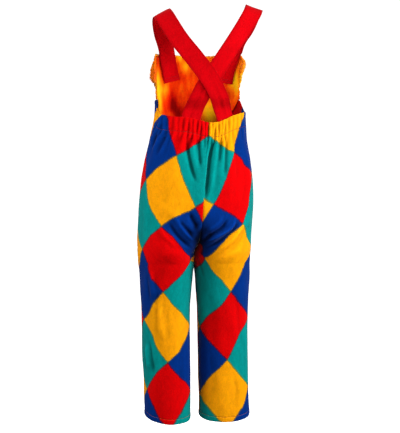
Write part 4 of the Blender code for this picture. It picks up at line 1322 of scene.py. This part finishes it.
def dyed_fur():
    n = Nodes("dyed_fur")
    colour = flame_ramp(n, n.attribute("warmth").outputs["Fac"])
    fine = n.noise(900.0, 2.0)
    tone = n.math("MULTIPLY", n.attribute("lock_tone_and_light").outputs["Fac"], n.spread(fine, 0.92, 1.08))
    n.link(n.scaled(colour, tone), n.shader.inputs["Base Color"])
    n.link(n.spread(fine, 0.55, 0.75), n.shader.inputs["Roughness"])
    n.link(n.bump(fine, 0.3, 0.0003), n.shader.inputs["Normal"])
    n.shader.inputs["Specular IOR Level"].default_value = 0.06
    n.shader.inputs["Sheen Weight"].default_value = 0.06
    n.shader.inputs["Sheen Roughness"].default_value = 0.40
    return n.material


def thread(name, colour):
    n = Nodes(name)
    twist = n.noise(2600.0, 1.0, (1, 1, 1))
    shaded = tuple(0.72 * c for c in colour[:3]) + (1.0,)
    n.link(n.mix(n.spread(twist, 0.0, 1.0), shaded, colour), n.shader.inputs["Base Color"])
    n.link(n.spread(twist, 0.55, 0.8), n.shader.inputs["Roughness"])
    n.link(n.bump(twist, 0.4, 0.0002), n.shader.inputs["Normal"])
    n.shader.inputs["Specular IOR Level"].default_value = 0.3
    return n.material


# ---------------------------------------------------------------- studio
def studio():
    scene = bpy.context.scene
    scene.view_settings.view_transform = "Standard"
    scene.view_settings.look = "None"
    world = bpy.data.worlds.new("studio")
    scene.world = world
    world.use_nodes = True
    world.node_tree.nodes["Background"].inputs["Color"].default_value = (1, 1, 1, 1)
    tree = world.node_tree
    place = tree.nodes.new("ShaderNodeTexCoord")
    split = tree.nodes.new("ShaderNodeSeparateXYZ")
    fall = tree.nodes.new("ShaderNodeMapRange")
    fall.inputs["From Min"].default_value, fall.inputs["From Max"].default_value = -1.0, 1.0
    fall.inputs["To Min"].default_value, fall.inputs["To Max"].default_value = 0.09, 0.26
    tree.links.new(place.outputs["Generated"], split.inputs[0])
    tree.links.new(split.outputs[2], fall.inputs["Value"])
    tree.links.new(fall.outputs["Result"], tree.nodes["Background"].inputs["Strength"])

    def plain(name, emission):
        material = bpy.data.materials.new(name)
        material.use_nodes = True
        shader = material.node_tree.nodes["Principled BSDF"]
        shader.inputs["Base Color"].default_value = (0.92, 0.92, 0.92, 1)
        shader.inputs["Roughness"].default_value = 0.9
        shader.inputs["Specular IOR Level"].default_value = 0.1
        shader.inputs["Emission Color"].default_value = (1, 1, 1, 1)
        shader.inputs["Emission Strength"].default_value = emission
        return material

    bpy.ops.mesh.primitive_circle_add(vertices=96, radius=9.0, fill_type="NGON", location=(0, 0, -1.25))
    floor = bpy.context.object
    floor.name = "floor"
    floor.data.materials.append(plain("pale_floor", 1.0))
    floor.visible_diffuse = floor.visible_glossy = False
    bpy.ops.mesh.primitive_uv_sphere_add(segments=96, ring_count=48, radius=9.5, location=(0, 0, -1.25))
    dome = bpy.context.object
    dome.name = "backdrop"
    dome.data.shade_smooth()
    dome.data.materials.append(plain("white_backdrop", 1.0))
    dome.visible_diffuse = dome.visible_glossy = dome.visible_shadow = dome.visible_transmission = False

    def area(name, at, aim, size, watts, tint=(1, 1, 1)):
        light = bpy.data.lights.new(name, "AREA")
        light.shape = "DISK"
        light.size = size
        light.energy = watts
        light.color = tint
        lamp = bpy.data.objects.new(name, light)
        lamp.location = at
        lamp.rotation_mode = "QUATERNION"
        lamp.rotation_quaternion = (Vector(aim) - Vector(at)).to_track_quat("-Z", "Y")
        scene.collection.objects.link(lamp)

    area("key", (0.12, -1.92, -0.10), (-0.02, 0, -0.46), 0.34, 9.6)
    area("high", (-0.20, -1.36, 0.90), (0.0, 0, -0.36), 0.30, 11.2)
    area("right_side", (1.42, -0.95, -0.08), (-0.02, 0, -0.47), 0.8, 32.0)
    area("left_side", (-1.55, -0.30, 0.10), (-0.02, 0, -0.45), 0.9, 17.0)
    area("front", (0.3, 1.9, 0.5), (-0.02, 0, -0.35), 1.2, 24.0)

    target = Vector((-0.0161, 0.0, -0.456))
    a, e = np.radians(-10.0), np.radians(4.0)
    back = Vector((np.sin(a) * np.cos(e), -np.cos(a) * np.cos(e), np.sin(e)))
    camera = bpy.data.objects.new("camera", bpy.data.cameras.new("camera"))
    camera.data.sensor_width = 36.0
    camera.data.lens = 94.478
    camera.data.clip_start, camera.data.clip_end = 0.05, 60.0
    camera.location = target + back * 2.5
    camera.rotation_mode = "QUATERNION"
    camera.rotation_quaternion = (-back).to_track_quat("-Z", "Y")
    scene.collection.objects.link(camera)
    scene.camera = camera


# ---------------------------------------------------------------- putting it together
make_panels()
make_bib()
make_bib_foot()
make_pile()
make_strap("strap_left_band", STRAP_LEFT, 101)
make_strap("strap_right_band", STRAP_RIGHT, 131)
make_stitches()

fleece = printed_fleece()
STANDS_FOR = {
    "back_left_fleece": ("back_left", "printed_fleece", fleece),
    "back_right_fleece": ("back_right", "printed_fleece", fleece),
    "front_left_fleece": ("front_left", "printed_fleece", fleece),
    "front_right_fleece": ("front_right", "printed_fleece", fleece),
    "bib_cloth": ("bib", "dyed_bib", dyed_bib()),
    "bib_pile": ("bib_fur", "dyed_fur", dyed_fur()),
}
strap_material = strap_fleece()
STANDS_FOR["strap_left_band"] = ("strap_left", "strap_cloth", strap_material)
STANDS_FOR["strap_right_band"] = ("strap_right", "strap_cloth", strap_material)
for name, (node, slot, material) in STANDS_FOR.items():
    piece = PIECES[name]
    piece.data.materials.append(material)
    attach(piece, "root")
    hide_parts(node)
foot = PIECES["bib_foot_cloth"]
foot.data.materials.append(PIECES["bib_cloth"].data.materials[0])
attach(foot, "root")
for name, colour, slot in (
    ("hem_stitches", rgb(150, 84, 24), "printed_fleece"),
    ("casing_stitches", rgb(112, 34, 26), "printed_fleece"),
    ("strap_stitches", rgb(150, 0, 10), "strap_cloth"),
):
    piece = PIECES[name]
    piece.data.materials.append(thread(name + "_thread", colour))
    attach(piece, "root")


def half_area(piece):
    mesh = piece.data
    areas = np.zeros(len(mesh.polygons))
    mesh.polygons.foreach_get("area", areas)
    return float(areas.sum() / 2)


for name in ("back_left_fleece", "back_right_fleece", "front_left_fleece", "front_right_fleece", "bib_cloth", "bib_foot_cloth", "strap_left_band", "strap_right_band"):
    print("cloth", name, round(half_area(PIECES[name]), 5))

studio()
